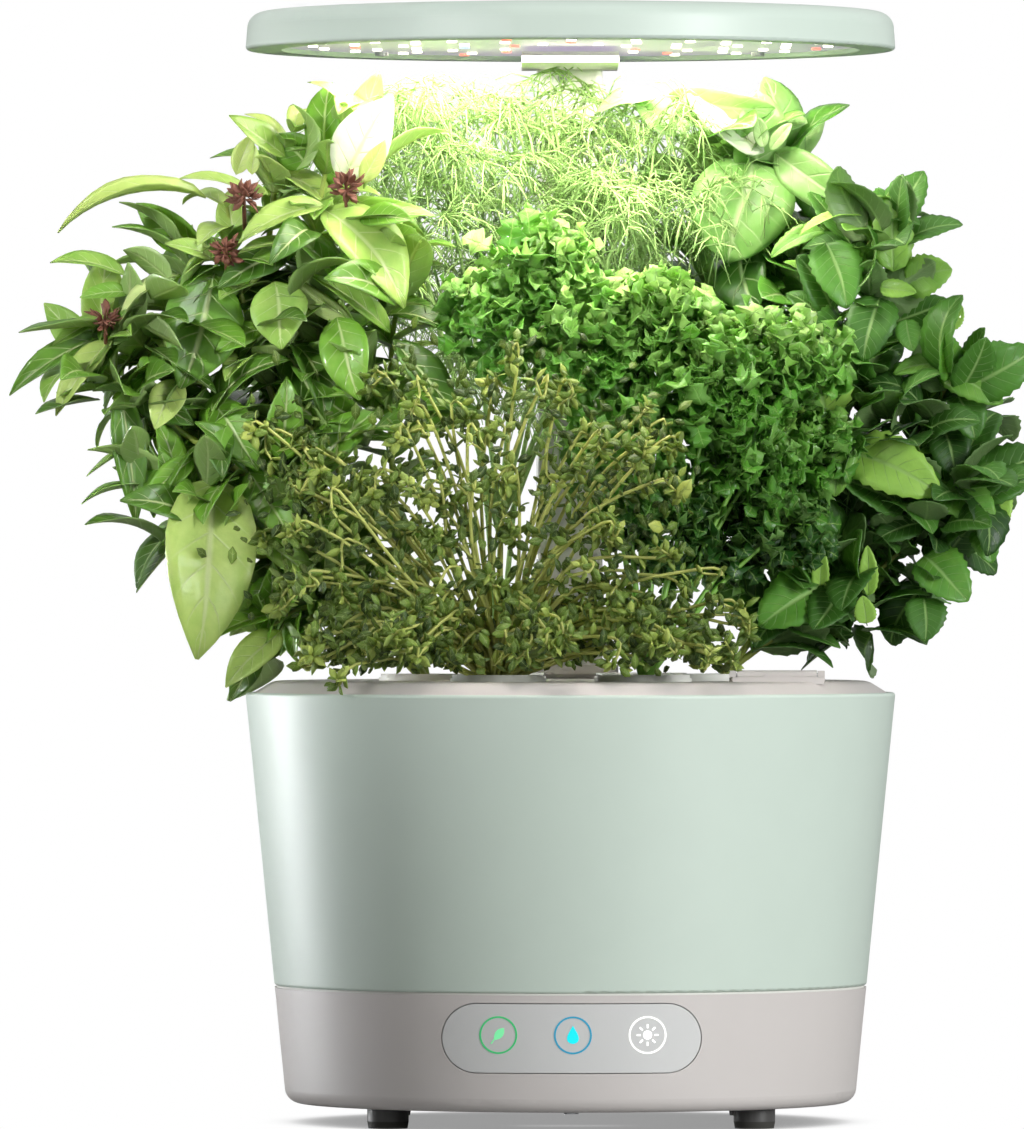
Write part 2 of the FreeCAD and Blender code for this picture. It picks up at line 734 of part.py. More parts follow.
def make_float():
    tall = "deck_top - deck_wall - guide_floor"
    outer = cylinder("guide_outer", "guide_radius", tall, "0", "float_y", "guide_floor")
    inner = cylinder("guide_inner", "guide_bore", "cut_through", "0", "float_y", "guide_floor + 2")
    windows = [
        block("guide_window_%d" % i, width, breadth, "70", "0", "float_y", "guide_floor + 8")
        for i, (width, breadth) in enumerate((("40", "4"), ("4", "40")))
    ]
    node("float_guide", cut("float_guide", outer, inner, *windows))
    bulb = cylinder("float_bulb", "float_radius", "float_height", "0", "float_y", "guide_floor + 2")
    stem = cylinder("float_rod", "float_stem", "deck_top - guide_floor - 2", "0", "float_y", "guide_floor + 2")
    node("level_float", fuse("level_float", bulb, stem))


def make_mast():
    bore_width = "mast_width + 2 * mast_play"
    bore_depth = "mast_depth + 2 * mast_play"
    sleeve = tube(
        "mast_sleeve", bore_width + " + 2 * sleeve_wall", bore_depth + " + 2 * sleeve_wall", bore_width, bore_depth,
        "sleeve_floor", "sleeve_top - sleeve_floor", "3.2",
    )
    node("mast_sleeve", sleeve)
    collar = tube(
        "sleeve_collar", bore_width + " + 2 * sleeve_wall + 2 * collar_border",
        bore_depth + " + 2 * sleeve_wall + 2 * collar_border", bore_width, bore_depth,
        "sleeve_top", "collar_height", "5",
    )
    node("sleeve_collar", collar)
    foot = block("sleeve_foot", bore_width + " + 2 * sleeve_wall + 10", bore_depth + " + 2 * sleeve_wall",
                 "sleeve_floor - foot_height - wall", "0", "mast_y - 1", "foot_height + wall")
    node("sleeve_foot", foot)
    mast = tube(
        "mast", "mast_width", "mast_depth", "mast_width - 2 * mast_wall", "mast_depth - 2 * mast_wall",
        "mast_bottom", "lamp_under - 0.1 - mast_bottom", "3",
    )
    screw_way = cylinder("arm_screw_way", "screw_radius + screw_play", "6", "-3", "mast_y - mast_depth / 2 - 1",
                         "lamp_under - arm_height - 4", "Y")
    node("mast", cut("mast_drilled", mast, screw_way))
    shank = cylinder("arm_screw_shank", "screw_radius", "4", "-3", "mast_y - mast_depth / 2",
                     "lamp_under - arm_height - 4", "Y")
    head = cylinder("arm_screw_head", "2.2", "0.6", "-3", "mast_y - mast_depth / 2 - 0.6",
                    "lamp_under - arm_height - 4", "Y")
    node("arm_screw", fuse("arm_screw", shank, head))
    lead = cylinder("lead_rod", "2.2", "lamp_under - 2 - mast_bottom", "0", "mast_y", "mast_bottom + 1")
    node("lamp_lead", lead)
    slack = cylinder("slack_rod", "4.6", "mast_bottom - sleeve_floor - 2", "0", "mast_y", "sleeve_floor + 1")
    node("lead_slack", slack)


def make_lamp():
    body = new_body("lamp_hood")
    inner_top = "lamp_top - lamp_wall"
    turned = revolve(
        body,
        [
            ("lamp_radius - lamp_wall", "lamp_under"),
            ("lamp_radius", "lamp_under"),
            ("lamp_radius - lamp_draft", "lamp_top"),
            ("0", "lamp_top"),
            ("0", inner_top),
            ("lamp_radius - lamp_draft - lamp_wall", inner_top),
        ],
    )
    top_test = ring_edge(SIZES["lamp_top"], SIZES["lamp_radius"] - SIZES["lamp_draft"])
    rounded = round_edges(body, turned, "lamp_corner", top_test)
    round_edges(body, rounded, "1.4", ring_edge(SIZES["lamp_under"], SIZES["lamp_radius"]))
    bosses = sketch_on(body, "XY_Plane", "lamp_under + bezel_thickness + board_thickness + 3")
    spots = [around("116", a) for a in (45, 135, 225, 315)]
    for x, y in spots:
        draw_circle(bosses, "4", x, y)
    pad(body, bosses, "lamp_top - 1 - (lamp_under + bezel_thickness + board_thickness + 3)")
    node("lamp_hood", body)

    seat = "lamp_under + bezel_thickness + 0.2"
    ring = cylinder("bezel_outer", "lamp_radius - lamp_wall - 0.2", "bezel_thickness", z="lamp_under")
    hole = cylinder("bezel_hole", "bezel_radius", "10", z="lamp_under - 2")
    node("lamp_bezel", cut("lamp_bezel", ring, hole))
    disc = cylinder("led_disc", "lamp_radius - lamp_wall - 2", "board_thickness", z=seat)
    plate = cylinder("heat_disc", "lamp_radius - lamp_wall - 6", "1.0", z=seat + " + board_thickness + 0.1")
    holes = []
    for i, (x, y) in enumerate(spots):
        holes.append(cylinder("board_hole_%d" % i, "screw_radius + screw_ease", "12", x, y, "lamp_under"))
    node("led_board", cut("led_board", disc, *holes))
    more = []
    for i, (x, y) in enumerate(spots):
        more.append(cylinder("heat_hole_%d" % i, "screw_radius + screw_ease", "12", x, y, "lamp_under"))
    node("heat_plate", cut("heat_plate", plate, *more))
    screws("board_screws", spots, seat, "2.6")

    colours = {"white_leds": [], "red_leds": [], "blue_leds": []}
    for ring_number, (radius, count) in enumerate(((24, 6), (48, 10), (72, 16), (94, 20), (111, 22))):
        for i in range(count):
            angle = 360 * (i + 0.5 * (ring_number % 2)) / count
            kind = "white_leds"
            if (i + 2 * ring_number) % 6 == 3:
                kind = "red_leds"
            elif ring_number in (1, 3) and i % 10 == 4:
                kind = "blue_leds"
            x, y = radius * math.cos(math.radians(angle)), radius * math.sin(math.radians(angle))
            under_arm = abs(x) < SIZES["arm_width"] / 2 + 3 and y > SIZES["arm_front"] - 3
            if not under_arm:
                colours[kind].append(("%.2f" % x, "%.2f" % y))
    for kind, places in colours.items():
        made = [
            cylinder("%s_%d" % (kind, i), "led_radius", "led_height", x, y, seat + " - led_height")
            for i, (x, y) in enumerate(places)
        ]
        node(kind, group(kind, *made))

    arm = block("arm_block", "arm_width", "arm_back - arm_front", "arm_height", "0", "(arm_front + arm_back) / 2",
                "lamp_under - arm_height")
    slot = block("arm_slot", "mast_width + 0.4", "mast_depth + 0.4", "20", "0", "mast_y", "lamp_under - 10")
    node("arm_cover", cut("arm_cover", arm, slot))


# Each plant is a stem through its pod's collar and the round leaf clumps that it carries, one after another.
# A clump is its centre, from the bowl's axis, and its radius.
PLANTS = {
    "basil_flowering": (
        4,
        [
            (-112, 0, 222, 22),
            (-122, 0, 266, 30),
            (-166, -6, 252, 24),
            (-150, 0, 306, 30),
            (-206, -4, 316, 32),
            (-186, 0, 352, 25),
            (-142, 0, 358, 34),
            (-108, 0, 400, 33),
            (-88, 2, 424, 26),
        ],
    ),
    "basil_large": (
        2,
        [(57, 64, 258, 15), (72, 70, 304, 23), (94, 70, 352, 31), (82, 67, 401, 37), (64, 60, 434, 23)],
    ),
    "dill": (
        3,
        [(-36, 66, 296, 18), (-14, 62, 342, 26), (-52, 66, 388, 32), (-8, 66, 396, 34), (-34, 66, 432, 24)],
    ),
    "parsley": (
        6,
        [
            (42, -36, 254, 24),
            (78, -34, 282, 26),
            (60, -30, 322, 36),
            (20, -26, 288, 26),
            (8, -20, 336, 34),
            (-30, -12, 350, 28),
        ],
    ),
    "thyme": (
        5,
        [
            (-34, -78, 228, 32),
            (14, -84, 226, 28),
            (4, -84, 268, 28),
            (-40, -74, 280, 34),
            (-84, -66, 268, 28),
            (-84, -66, 226, 28),
        ],
    ),
    "mint": (
        1,
        [
            (96, 4, 220, 20),
            (122, 4, 240, 30),
            (152, 2, 262, 24),
            (134, 4, 306, 26),
            (166, 0, 316, 22),
            (126, 8, 360, 28),
            (132, 4, 386, 22),
        ],
    ),
}


def leaf_ball(centre, radius, turn):
    """A round clump of eighty flat facets, about a centre."""
    golden = (1 + 5**0.5) / 2
    tips = []
    for a in (-1, 1):
        for b in (-golden, golden):
            tips += [FreeCAD.Vector(0, a, b), FreeCAD.Vector(a, b, 0), FreeCAD.Vector(b, 0, a)]
    rotation = FreeCAD.Rotation(FreeCAD.Vector(1, 2, 3), turn)
    middle = FreeCAD.Vector(*centre)

    def placed(direction):
        unit = FreeCAD.Vector(direction).normalize()
        return middle + rotation.multVec(unit) * radius

    faces = []
    for a, b, c in itertools.combinations(tips, 3):
        if max(a.distanceToPoint(b), b.distanceToPoint(c), c.distanceToPoint(a)) > 2.1:
            continue
        for triangle in ((a, a + b, a + c), (b, b + c, a + b), (c, a + c, b + c), (a + b, b + c, a + c)):
            corners_of = [placed(v) for v in triangle]
            faces.append(Part.Face(Part.makePolygon(corners_of + corners_of[:1])))
    solid = Part.Solid(Part.Shell(faces))
    if solid.Volume < 0:
        solid.reverse()
    return solid


def stem(start, end):
    """A six-sided stem between two places."""
    along = end.sub(start)
    rotation = FreeCAD.Rotation(FreeCAD.Vector(0, 0, 1), along)
    ring = []
    for i in range(6):
        angle = math.radians(60 * i)
        arm = FreeCAD.Vector(math.cos(angle), math.sin(angle), 0) * SIZES["stem_radius"]
        ring.append(start + rotation.multVec(arm))
    return Part.Face(Part.makePolygon(ring + ring[:1])).extrude(along)


def make_plants():
    crown = SIZES["deck_top"] - 1.5
    for name, (pod, clumps) in PLANTS.items():
        angle = math.radians(POD_ANGLES[pod - 1])
        x = SIZES["pod_circle"] * math.cos(angle)
        y = SIZES["pod_circle"] * math.sin(angle)
        points = [FreeCAD.Vector(x, y, crown), FreeCAD.Vector(x, y, crown + 12)]
        points += [FreeCAD.Vector(*c[:3]) for c in clumps]
        pieces = [stem(start, end) for start, end in zip(points, points[1:])]
        pieces.append(leaf_ball(points[1], SIZES["stem_radius"] + 1.5, 20))
        pieces += [leaf_ball(c[:3], c[3], 37 * i) for i, c in enumerate(clumps)]
        plant = doc.addObject("Part::Feature", name + "_shape")
        plant.Shape = pieces[0].multiFuse(pieces[1:])
        node(name, plant)


make_base()
make_panel()
make_electronics()
make_bowl()
make_deck()
make_pods()
make_pump()
make_float()
make_mast()
make_lamp()
make_plants()
doc.recompute()

for thing in doc.Objects:
    if "Invalid" in thing.State or "Error" in thing.State:
        raise RuntimeError("%s didn't build" % thing.Name)
os.makedirs("parts", exist_ok=True)
for name, thing in sorted(nodes.items()):
    if thing.Shape.isNull() or not thing.Shape.isValid() or not thing.Shape.Solids:
        raise RuntimeError("%s has no valid solid" % name)
for name, thing in sorted(nodes.items()):
    thing.Shape.exportStep("parts/%s.step" % name)
    print("%-18s %3d solids %10.0f mm3" % (name, len(thing.Shape.Solids), thing.Shape.Volume))
print(len(nodes), "nodes")
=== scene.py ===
import json
import math
import random

import bmesh
import bpy
import numpy as np
from mathutils import Matrix, Vector

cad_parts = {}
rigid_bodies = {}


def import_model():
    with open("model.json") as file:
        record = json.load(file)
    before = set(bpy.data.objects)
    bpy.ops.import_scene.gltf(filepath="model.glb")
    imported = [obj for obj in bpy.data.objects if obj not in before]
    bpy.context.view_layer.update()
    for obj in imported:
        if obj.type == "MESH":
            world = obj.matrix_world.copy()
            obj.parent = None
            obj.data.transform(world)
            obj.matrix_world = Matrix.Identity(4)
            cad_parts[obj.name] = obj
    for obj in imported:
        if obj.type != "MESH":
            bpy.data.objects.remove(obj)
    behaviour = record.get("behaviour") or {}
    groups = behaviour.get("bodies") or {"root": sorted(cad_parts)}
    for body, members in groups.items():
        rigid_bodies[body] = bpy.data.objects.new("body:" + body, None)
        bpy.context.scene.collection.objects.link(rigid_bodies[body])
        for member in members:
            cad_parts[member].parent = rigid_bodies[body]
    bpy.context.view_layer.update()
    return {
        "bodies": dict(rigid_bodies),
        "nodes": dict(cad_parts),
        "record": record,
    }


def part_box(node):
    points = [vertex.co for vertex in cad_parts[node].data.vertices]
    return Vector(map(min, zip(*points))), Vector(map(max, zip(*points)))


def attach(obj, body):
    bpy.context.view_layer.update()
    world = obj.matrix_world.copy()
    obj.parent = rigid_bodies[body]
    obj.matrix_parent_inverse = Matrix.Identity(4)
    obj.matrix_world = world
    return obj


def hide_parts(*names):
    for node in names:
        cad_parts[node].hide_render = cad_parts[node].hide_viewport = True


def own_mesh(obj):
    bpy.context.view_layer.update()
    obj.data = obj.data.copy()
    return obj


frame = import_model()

nodes = frame["nodes"]
mm = 0.001
print("frame loaded:", len(nodes), "nodes")


# Colours and nodes
def linear(text):
    channels = [int(text[i:i + 2], 16) / 255 for i in (1, 3, 5)]
    return tuple(c / 12.92 if c <= 0.04045 else ((c + 0.055) / 1.055) ** 2.4 for c in channels) + (1.0,)


def addNode(tree, kind, settings=None, inputs=None):
    node = tree.nodes.new(kind)
    for key, value in (settings or {}).items():
        setattr(node, key, value)
    for key, value in (inputs or {}).items():
        if isinstance(value, bpy.types.NodeSocket):
            tree.links.new(value, node.inputs[key])
        else:
            node.inputs[key].default_value = value
    return node


def newMaterial(name):
    made = bpy.data.materials.new(name)
    made.use_nodes = True
    made.node_tree.nodes.clear()
    return made, made.node_tree


def output(tree, shader):
    addNode(tree, "ShaderNodeOutputMaterial", inputs={"Surface": shader})


def mixColour(tree, factor, first, second):
    node = addNode(tree, "ShaderNodeMix", {"data_type": "RGBA"})
    for socket, value in ((0, factor), (6, first), (7, second)):
        if isinstance(value, bpy.types.NodeSocket):
            tree.links.new(value, node.inputs[socket])
        else:
            node.inputs[socket].default_value = value
    return node.outputs[2]


def principled(tree, inputs):
    return addNode(tree, "ShaderNodeBsdfPrincipled", inputs=inputs).outputs[0]


# Camera: the photograph was taken level with the middle of the object, from far off
photo = {
    "width": 1024, "height": 1129,  # pixels
    "axisColumn": 570.5,            # the bowl's axis
    "levelRow": 565.0,              # the row at the lens's height
    "perMetre": 2321.0,             # pixels per metre at the axis
    "distance": 5.96, "lensHeight": 0.240,  # metres
    "sensor": 36,                   # mm across the camera's sensor
    "sees": 60,                     # metres
}
lensAside = (photo["width"] / 2 - photo["axisColumn"]) / photo["perMetre"]


def aimCamera():
    data = bpy.data.cameras.new("camera")
    data.sensor_width = photo["sensor"]
    data.lens = photo["perMetre"] * photo["distance"] / photo["height"] * data.sensor_width
    data.clip_end = photo["sees"]
    camera = bpy.data.objects.new("camera", data)
    bpy.context.scene.collection.objects.link(camera)
    camera.location = (lensAside, -photo["distance"], photo["lensHeight"])
    camera.rotation_euler = (math.pi / 2, 0, 0)
    bpy.context.scene.camera = camera


# A place that shows at a pixel, at a depth behind the bowl's axis in metres
def fromPhoto(column, row, depth):
    scale = photo["perMetre"] * photo["distance"] / (photo["distance"] + depth)
    x = (column - photo["width"] / 2) / scale + lensAside
    z = photo["lensHeight"] + (photo["levelRow"] - row) / scale
    return Vector((x, depth, z))


aimCamera()
print("camera set")

# Surfaces. Each material is named for what the real piece is made of, and for any light painted into it.
grainMm = {"fine": 0.5, "coarse": 1.6}
surface = {
    "patchMm": 24, "scuffMm": 9,       # size of faint patches of tone and of glossier spots
    "glossier": 0.04, "duller": 0.06,  # how far the roughness strays each way
    "grainDeepMm": 0.05, "poreDeepMm": 0.4,
}


def noiseTexture(tree, sizeMm, detail=3.0, rough=0.5):
    place = addNode(tree, "ShaderNodeTexCoord").outputs["Object"]
    inputs = {"Vector": place, "Scale": 1 / (sizeMm * mm), "Detail": detail, "Roughness": rough}
    return addNode(tree, "ShaderNodeTexNoise", inputs=inputs).outputs["Fac"]


def ramp(tree, value, low, high):
    inputs = {"Value": value, "From Min": low, "From Max": high}
    return addNode(tree, "ShaderNodeMapRange", inputs=inputs).outputs["Result"]


def maths(tree, operation, *values):
    return addNode(tree, "ShaderNodeMath", {"operation": operation}, dict(enumerate(values))).outputs[0]


def solid(name, colour, rough=0.45, grain=0.0, sizeMm=0.5, metal=0.0, coat=0.0, shade=0.04, ior=1.5):
    made, tree = newMaterial(name)
    patches = noiseTexture(tree, surface["patchMm"], 2.0)
    darker = tuple(c * (1 - shade) for c in linear(colour)[:3]) + (1.0,)
    base = mixColour(tree, patches, linear(colour), darker)
    worn = addNode(tree, "ShaderNodeMapRange", inputs={
        "Value": noiseTexture(tree, surface["scuffMm"], 4.0),
        "To Min": rough - surface["glossier"], "To Max": rough + surface["duller"]})
    inputs = {"Base Color": base, "Roughness": worn.outputs["Result"], "Metallic": metal, "IOR": ior,
              "Coat Weight": coat}
    if grain > 0:
        height = noiseTexture(tree, sizeMm, 2.0)
        bump = addNode(tree, "ShaderNodeBump", inputs={
            "Height": height, "Strength": grain, "Distance": surface["grainDeepMm"] * mm})
        inputs["Normal"] = bump.outputs["Normal"]
    output(tree, principled(tree, inputs))
    return made


def glowing(name, colour, strength, body):
    made, tree = newMaterial(name)
    inputs = {"Base Color": linear(body), "Roughness": 0.35, "Emission Color": linear(colour),
              "Emission Strength": strength}
    output(tree, principled(tree, inputs))
    return made


# Peat or foam: pores between fibres, painted dark with the shade inside them
def porous(name, colour, dark, poreMm, rough=0.95):
    made, tree = newMaterial(name)
    place = addNode(tree, "ShaderNodeTexCoord").outputs["Object"]
    cells = addNode(tree, "ShaderNodeTexVoronoi", inputs={"Vector": place, "Scale": 1 / (poreMm * mm)})
    pores = ramp(tree, cells.outputs["Distance"], 0.1, 0.7)
    # painted shade: the colour darkens in the hollows of the pores
    base = mixColour(tree, pores, linear(dark), linear(colour))
    bump = addNode(tree, "ShaderNodeBump", inputs={
        "Height": pores, "Strength": 0.8, "Distance": surface["poreDeepMm"] * mm})
    inputs = {"Base Color": base, "Roughness": rough, "Normal": bump.outputs["Normal"]}
    output(tree, principled(tree, inputs))
    return made


finishes = {
    # Satin ABS with a fine spark-eroded grain
    "sage_plastic": solid("sage satin ABS", "#cad8cd", 0.42, 0.12, grainMm["fine"]),
    "greige_plastic": solid("warm grey satin ABS", "#d0cac7", 0.45, 0.12, grainMm["fine"]),
    # lightened to match the glare under the lamp: pale grey partly its own colour, partly painted light
    "mast_plastic": solid("pale grey painted ABS with painted glare", "#e6e5e3", 0.38, 0.08, grainMm["fine"]),
    "black_plastic": solid("black glass-filled nylon", "#1c1d1f", 0.5, 0.3, 0.8),
    # Frosted polycarbonate over the touch pads
    "panel_lens": solid("frosted grey polycarbonate", "#d6d6d5", 0.33, coat=0.15, ior=1.58, shade=0.02),
    "foot_rubber": solid("dark elastomer", "#34332f", 0.8, 0.5, grainMm["coarse"], ior=1.52),
    # The seal is pale to draw the bright line at the seam: partly its own colour, partly a painted highlight
    "seal_rubber": solid("silicone seal, pale as a painted seam highlight", "#dcdcd6", 0.6, 0.2, 0.8, ior=1.41),
    "circuit_board": solid("green solder mask", "#1d5a35", 0.4, 0.2, 0.7, coat=0.3),
    "lamp_board": glowing("white solder mask lit by its diodes", "#dcd4e6", 0.35, "#c4bccc"),
    "components": solid("moulded epoxy packages", "#26262a", 0.55, 0.3, 0.5),
    "steel": solid("zinc-plated steel", "#b6b9bb", 0.32, 0.15, 0.4, metal=1.0),
    "brass": solid("brass", "#c9a64e", 0.28, metal=1.0),
    "aluminium": solid("anodised aluminium", "#c4c6c8", 0.4, 0.2, 0.3, metal=1.0),
    "white_light": glowing("warm white phosphor", "#fff6e4", 6.0, "#f4ecd4"),
    "red_light": glowing("red diode", "#ff6a5a", 2.2, "#e88a80"),
    "blue_light": glowing("blue diode", "#8fa4ff", 2.2, "#9aa8e0"),
    "basket_plastic": solid("white polypropylene", "#dfdfda", 0.5, 0.15, 0.6, ior=1.49),
    "peat_sponge": porous("peat plug", "#4a3524", "#1d140d", 1.3),
    "filter_foam": porous("open-cell foam", "#2c2d30", "#08080a", 1.6),
    "ceramic_shaft": solid("alumina ceramic", "#ece9e0", 0.25, ior=1.76),
    "float_plastic": solid("white foam float", "#e9e7df", 0.6, 0.5, 1.2),
    "lead_jacket": solid("black PVC lead", "#222224", 0.45, 0.1, 0.8),
}


# The base's plastic, which is dark on the four foot posts below its floor
def baseWithFeet():
    made = solid("warm grey base with dark feet", "#d0cac7", 0.45, 0.12, grainMm["fine"])
    tree = made.node_tree
    skin = next(n for n in tree.nodes if n.type == "BSDF_PRINCIPLED")
    place = addNode(tree, "ShaderNodeTexCoord").outputs["Object"]
    height = addNode(tree, "ShaderNodeSeparateXYZ", inputs={0: place}).outputs["Z"]
    low = maths(tree, "LESS_THAN", height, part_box("bottom_plate")[0].z - 0.2 * mm)
    plain = skin.inputs["Base Color"].links[0].from_socket
    tree.links.new(mixColour(tree, low, plain, linear("#3c3b3a")), skin.inputs["Base Color"])
    return made


for part in frame["record"]["subparts"]:
    finish = finishes.get(part["material_slot"])
    if finish:
        for slot in nodes[part["node"]].material_slots:
            slot.material = finish
nodes["base_shell"].material_slots[0].material = baseWithFeet()
print("finishes set")


# The floor, the backdrop and the lights
room = {
    "world": 0.08,        # light from the white surroundings
    "card": 0.5,          # how much light the floor and backdrop throw back
    "shadowReach": 0.05, "shadowFrom": -0.25, "shadowTo": 0.6,  # metres; openness shown black and white
    "floorReach": 4.0, "bendRadius": 1.0, "height": 3.5, "halfWidth": 5.0,  # metres
    "backdropAt": 12.0,   # metres; far enough off for a camera behind the object
    "bendSteps": 8,
}


def whiteRoom():
    world = bpy.data.worlds.new("white room")
    bpy.context.scene.world = world
    world.use_nodes = True
    tree = world.node_tree
    tree.nodes.clear()
    path = addNode(tree, "ShaderNodeLightPath")
    seen = maths(tree, "MAXIMUM", path.outputs["Is Camera Ray"], path.outputs["Is Glossy Ray"])
    seen = maths(tree, "MAXIMUM", seen, path.outputs["Is Transmission Ray"])
    strength = addNode(tree, "ShaderNodeMapRange", inputs={
        "Value": seen, "To Min": room["world"], "To Max": 1.0})
    light = addNode(tree, "ShaderNodeBackground", inputs={
        "Color": (1, 1, 1, 1), "Strength": strength.outputs["Result"]})
    addNode(tree, "ShaderNodeOutputWorld", inputs={"Surface": light.outputs[0]})


# White card that the camera sees as plain white, darker only where something stands close over it
def floorMaterial():
    made, tree = newMaterial("white sweep")
    path = addNode(tree, "ShaderNodeLightPath")
    matt = addNode(tree, "ShaderNodeBsdfDiffuse", inputs={"Color": (room["card"],) * 3 + (1,)})
    openness = addNode(tree, "ShaderNodeAmbientOcclusion", inputs={"Distance": room["shadowReach"]})
    shown = ramp(tree, openness.outputs["AO"], room["shadowFrom"], room["shadowTo"])
    plain = addNode(tree, "ShaderNodeEmission", inputs={"Color": (1, 1, 1, 1), "Strength": shown})
    mixed = addNode(tree, "ShaderNodeMixShader", inputs={
        0: path.outputs["Is Camera Ray"], 1: matt.outputs[0], 2: plain.outputs[0]})
    output(tree, mixed.outputs[0])
    return made


# The floor and the backdrop behind it, as one bent sheet
def makeSweep():
    bend, steps, wide = room["bendRadius"], room["bendSteps"], room["halfWidth"]
    profile = [(-room["floorReach"], 0.0), (room["backdropAt"] - bend, 0.0)]
    for i in range(1, steps + 1):
        angle = math.pi / 2 / steps * i
        profile.append((room["backdropAt"] - bend + bend * math.sin(angle), bend - bend * math.cos(angle)))
    profile.append((room["backdropAt"], room["height"]))
    mesh = bpy.data.meshes.new("sweep")
    bm = bmesh.new()
    rows = [[bm.verts.new((x, y, z)) for x in (-wide, wide)] for y, z in profile]
    for (a, b), (c, d) in zip(rows, rows[1:]):
        bm.faces.new((a, b, d, c)).smooth = True
    bm.to_mesh(mesh)
    bm.free()
    mesh.materials.append(floorMaterial())
    sweep = bpy.data.objects.new("sweep", mesh)
    bpy.context.scene.collection.objects.link(sweep)


lamps = {
    # name: place, aimed at, size across and up in metres, watts, colour
    "right softbox": ((2.05, -2.1, 1.0), (0.0, 0.0, 0.2), (1.0, 1.3), 80.0, "#fdffff"),
    "left strip": ((-1.4, 0.8, 0.1), (-0.05, 0.0, 0.07), (0.22, 0.5), 0.62, "#fbfdff"),
    "left spot": ((-1.5, -1.7, 0.95), (-0.13, 0.0, 0.36), (0.2, 0.2), 0.3, "#ffffff"),
    "top fill": ((0.0, -0.4, 2.4), (0.0, 0.0, 0.2), (1.4, 1.4), 12.0, "#ffffff"),
}
spreads = {"left strip": 24, "left spot": 13}  # degrees; the other lamps throw light all round
diodes = {"across": 0.2, "below": 0.004, "watts": 1.5, "colour": "#fff4ec"}  # metres


def hangLamps():
    for name, (place, aim, size, watts, colour) in lamps.items():
        data = bpy.data.lights.new(name, "AREA")
        data.shape = "RECTANGLE"
        data.size, data.size_y = size
        data.energy = watts
        data.color = linear(colour)[:3]
        data.spread = math.radians(spreads.get(name, 180))
        lamp = bpy.data.objects.new(name, data)
        lamp.location = place
        lamp.rotation_euler = (Vector(aim) - Vector(place)).to_track_quat("-Z", "Y").to_euler()
        bpy.context.scene.collection.objects.link(lamp)


# The light that the diodes throw on the plants
def glowUnderHood():
    data = bpy.data.lights.new("diode glow", "AREA")
    data.shape = "DISK"
    data.size = diodes["across"]
    data.energy = diodes["watts"]
    data.color = linear(diodes["colour"])[:3]
    glow = bpy.data.objects.new("diode glow", data)
    glow.location = (0, 0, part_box("led_board")[0].z - diodes["below"])
    glow.visible_camera = False
    bpy.context.scene.collection.objects.link(glow)
    glow.parent = frame["bodies"]["lamp"]


whiteRoom()
makeSweep()
hangLamps()
glowUnderHood()
bpy.context.scene.view_settings.view_transform = "Standard"
print("room lit")


# Building pieces
def newPiece(name, bm, body, material):
    mesh = bpy.data.meshes.new(name)
    bm.to_mesh(mesh)
    bm.free()
    mesh.materials.append(material)
    piece = bpy.data.objects.new(name, mesh)
    bpy.context.scene.collection.objects.link(piece)
    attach(piece, body)
    return piece


askew = Vector((0.31, 0.93, 0.2))  # crossed with a stem's way, it gives the side


# A closed round stem through the points; its last ring has the thin radius
def tube(bm, points, thick, thin, sides=5, values=None):
    last = len(points) - 1
    rings = []
    for i, point in enumerate(points):
        way = (points[min(i + 1, last)] - points[max(i - 1, 0)]).normalized()
        side = way.cross(askew).normalized()
        other = way.cross(side)
        radius = thick + (thin - thick) * i / last
        ring = []
        for k in range(sides):
            angle = 2 * math.pi * k / sides
            ring.append(bm.verts.new(point + (side * math.cos(angle) + other * math.sin(angle)) * radius))
        rings.append(ring)
    faces = [bm.faces.new(rings[0][::-1]), bm.faces.new(rings[-1])]
    for a, b in zip(rings, rings[1:]):
        for k in range(sides):
            faces.append(bm.faces.new((a[k], a[(k + 1) % sides], b[(k + 1) % sides], b[k])))
    for face in faces:
        face.smooth = len(face.verts) == 4
    for key, value in (values or {}).items():
        layer = bm.verts.layers.float[key]
        for ring in rings:
            for vert in ring:
                vert[layer] = value


# A smooth curve through a few places
def smoothPath(points, steps):
    points = [Vector(p) for p in points]
    first, last = points[0] * 2 - points[1], points[-1] * 2 - points[-2]
    fence = [first] + points + [last]
    path = []
    for a, b, c, d in zip(fence, fence[1:], fence[2:], fence[3:]):
        for i in range(steps):
            t = i / steps
            path.append(0.5 * (b * 2 + (c - a) * t + (a * 2 - b * 5 + c * 4 - d) * t ** 2
                               + (b * 3 - a - c * 3 + d) * t ** 3))
    return path + [points[-1]]


# The three lit signs behind the lens: a leaf, a drop and a sun, each in a ring
panel = {
    "height": 41.4, "ringOuter": 8.0, "ringInner": 7.25, "thick": 0.15,  # mm
    "rim": 140.0, "rimHeight": 185.0, "taper": 0.0991,
    "ringSteps": 64,
}
signs = {
    # place across in mm from the bowl's axis, mark, colour of its ring and of the mark
    "grow_sign": (-31.0, "leaf", "#35a866", "#74dc9b"),
    "water_sign": (0.5, "drop", "#2488a8", "#0cd8e0"),
    "light_sign": (32.0, "sun", "#f2f2ef", "#ffffff"),
}


def circle(radius, count):
    return [(radius * math.cos(2 * math.pi * i / count), radius * math.sin(2 * math.pi * i / count))
            for i in range(count)]


def leafMark():
    blade = [(1.7 * math.sin(math.pi * t / 12) ** 0.8, 6.4 * t / 12 - 2.6) for t in range(13)]
    outline = blade + [(-x, z) for x, z in reversed(blade[1:-1])]
    tilt = math.radians(-38)
    turned = [(x * math.cos(tilt) - z * math.sin(tilt), x * math.sin(tilt) + z * math.cos(tilt))
              for x, z in outline]
    stalk = [(-3.3, -3.6), (-2.9, -3.9), (-1.2, -1.5), (-1.6, -1.2)]
    return [turned, stalk]


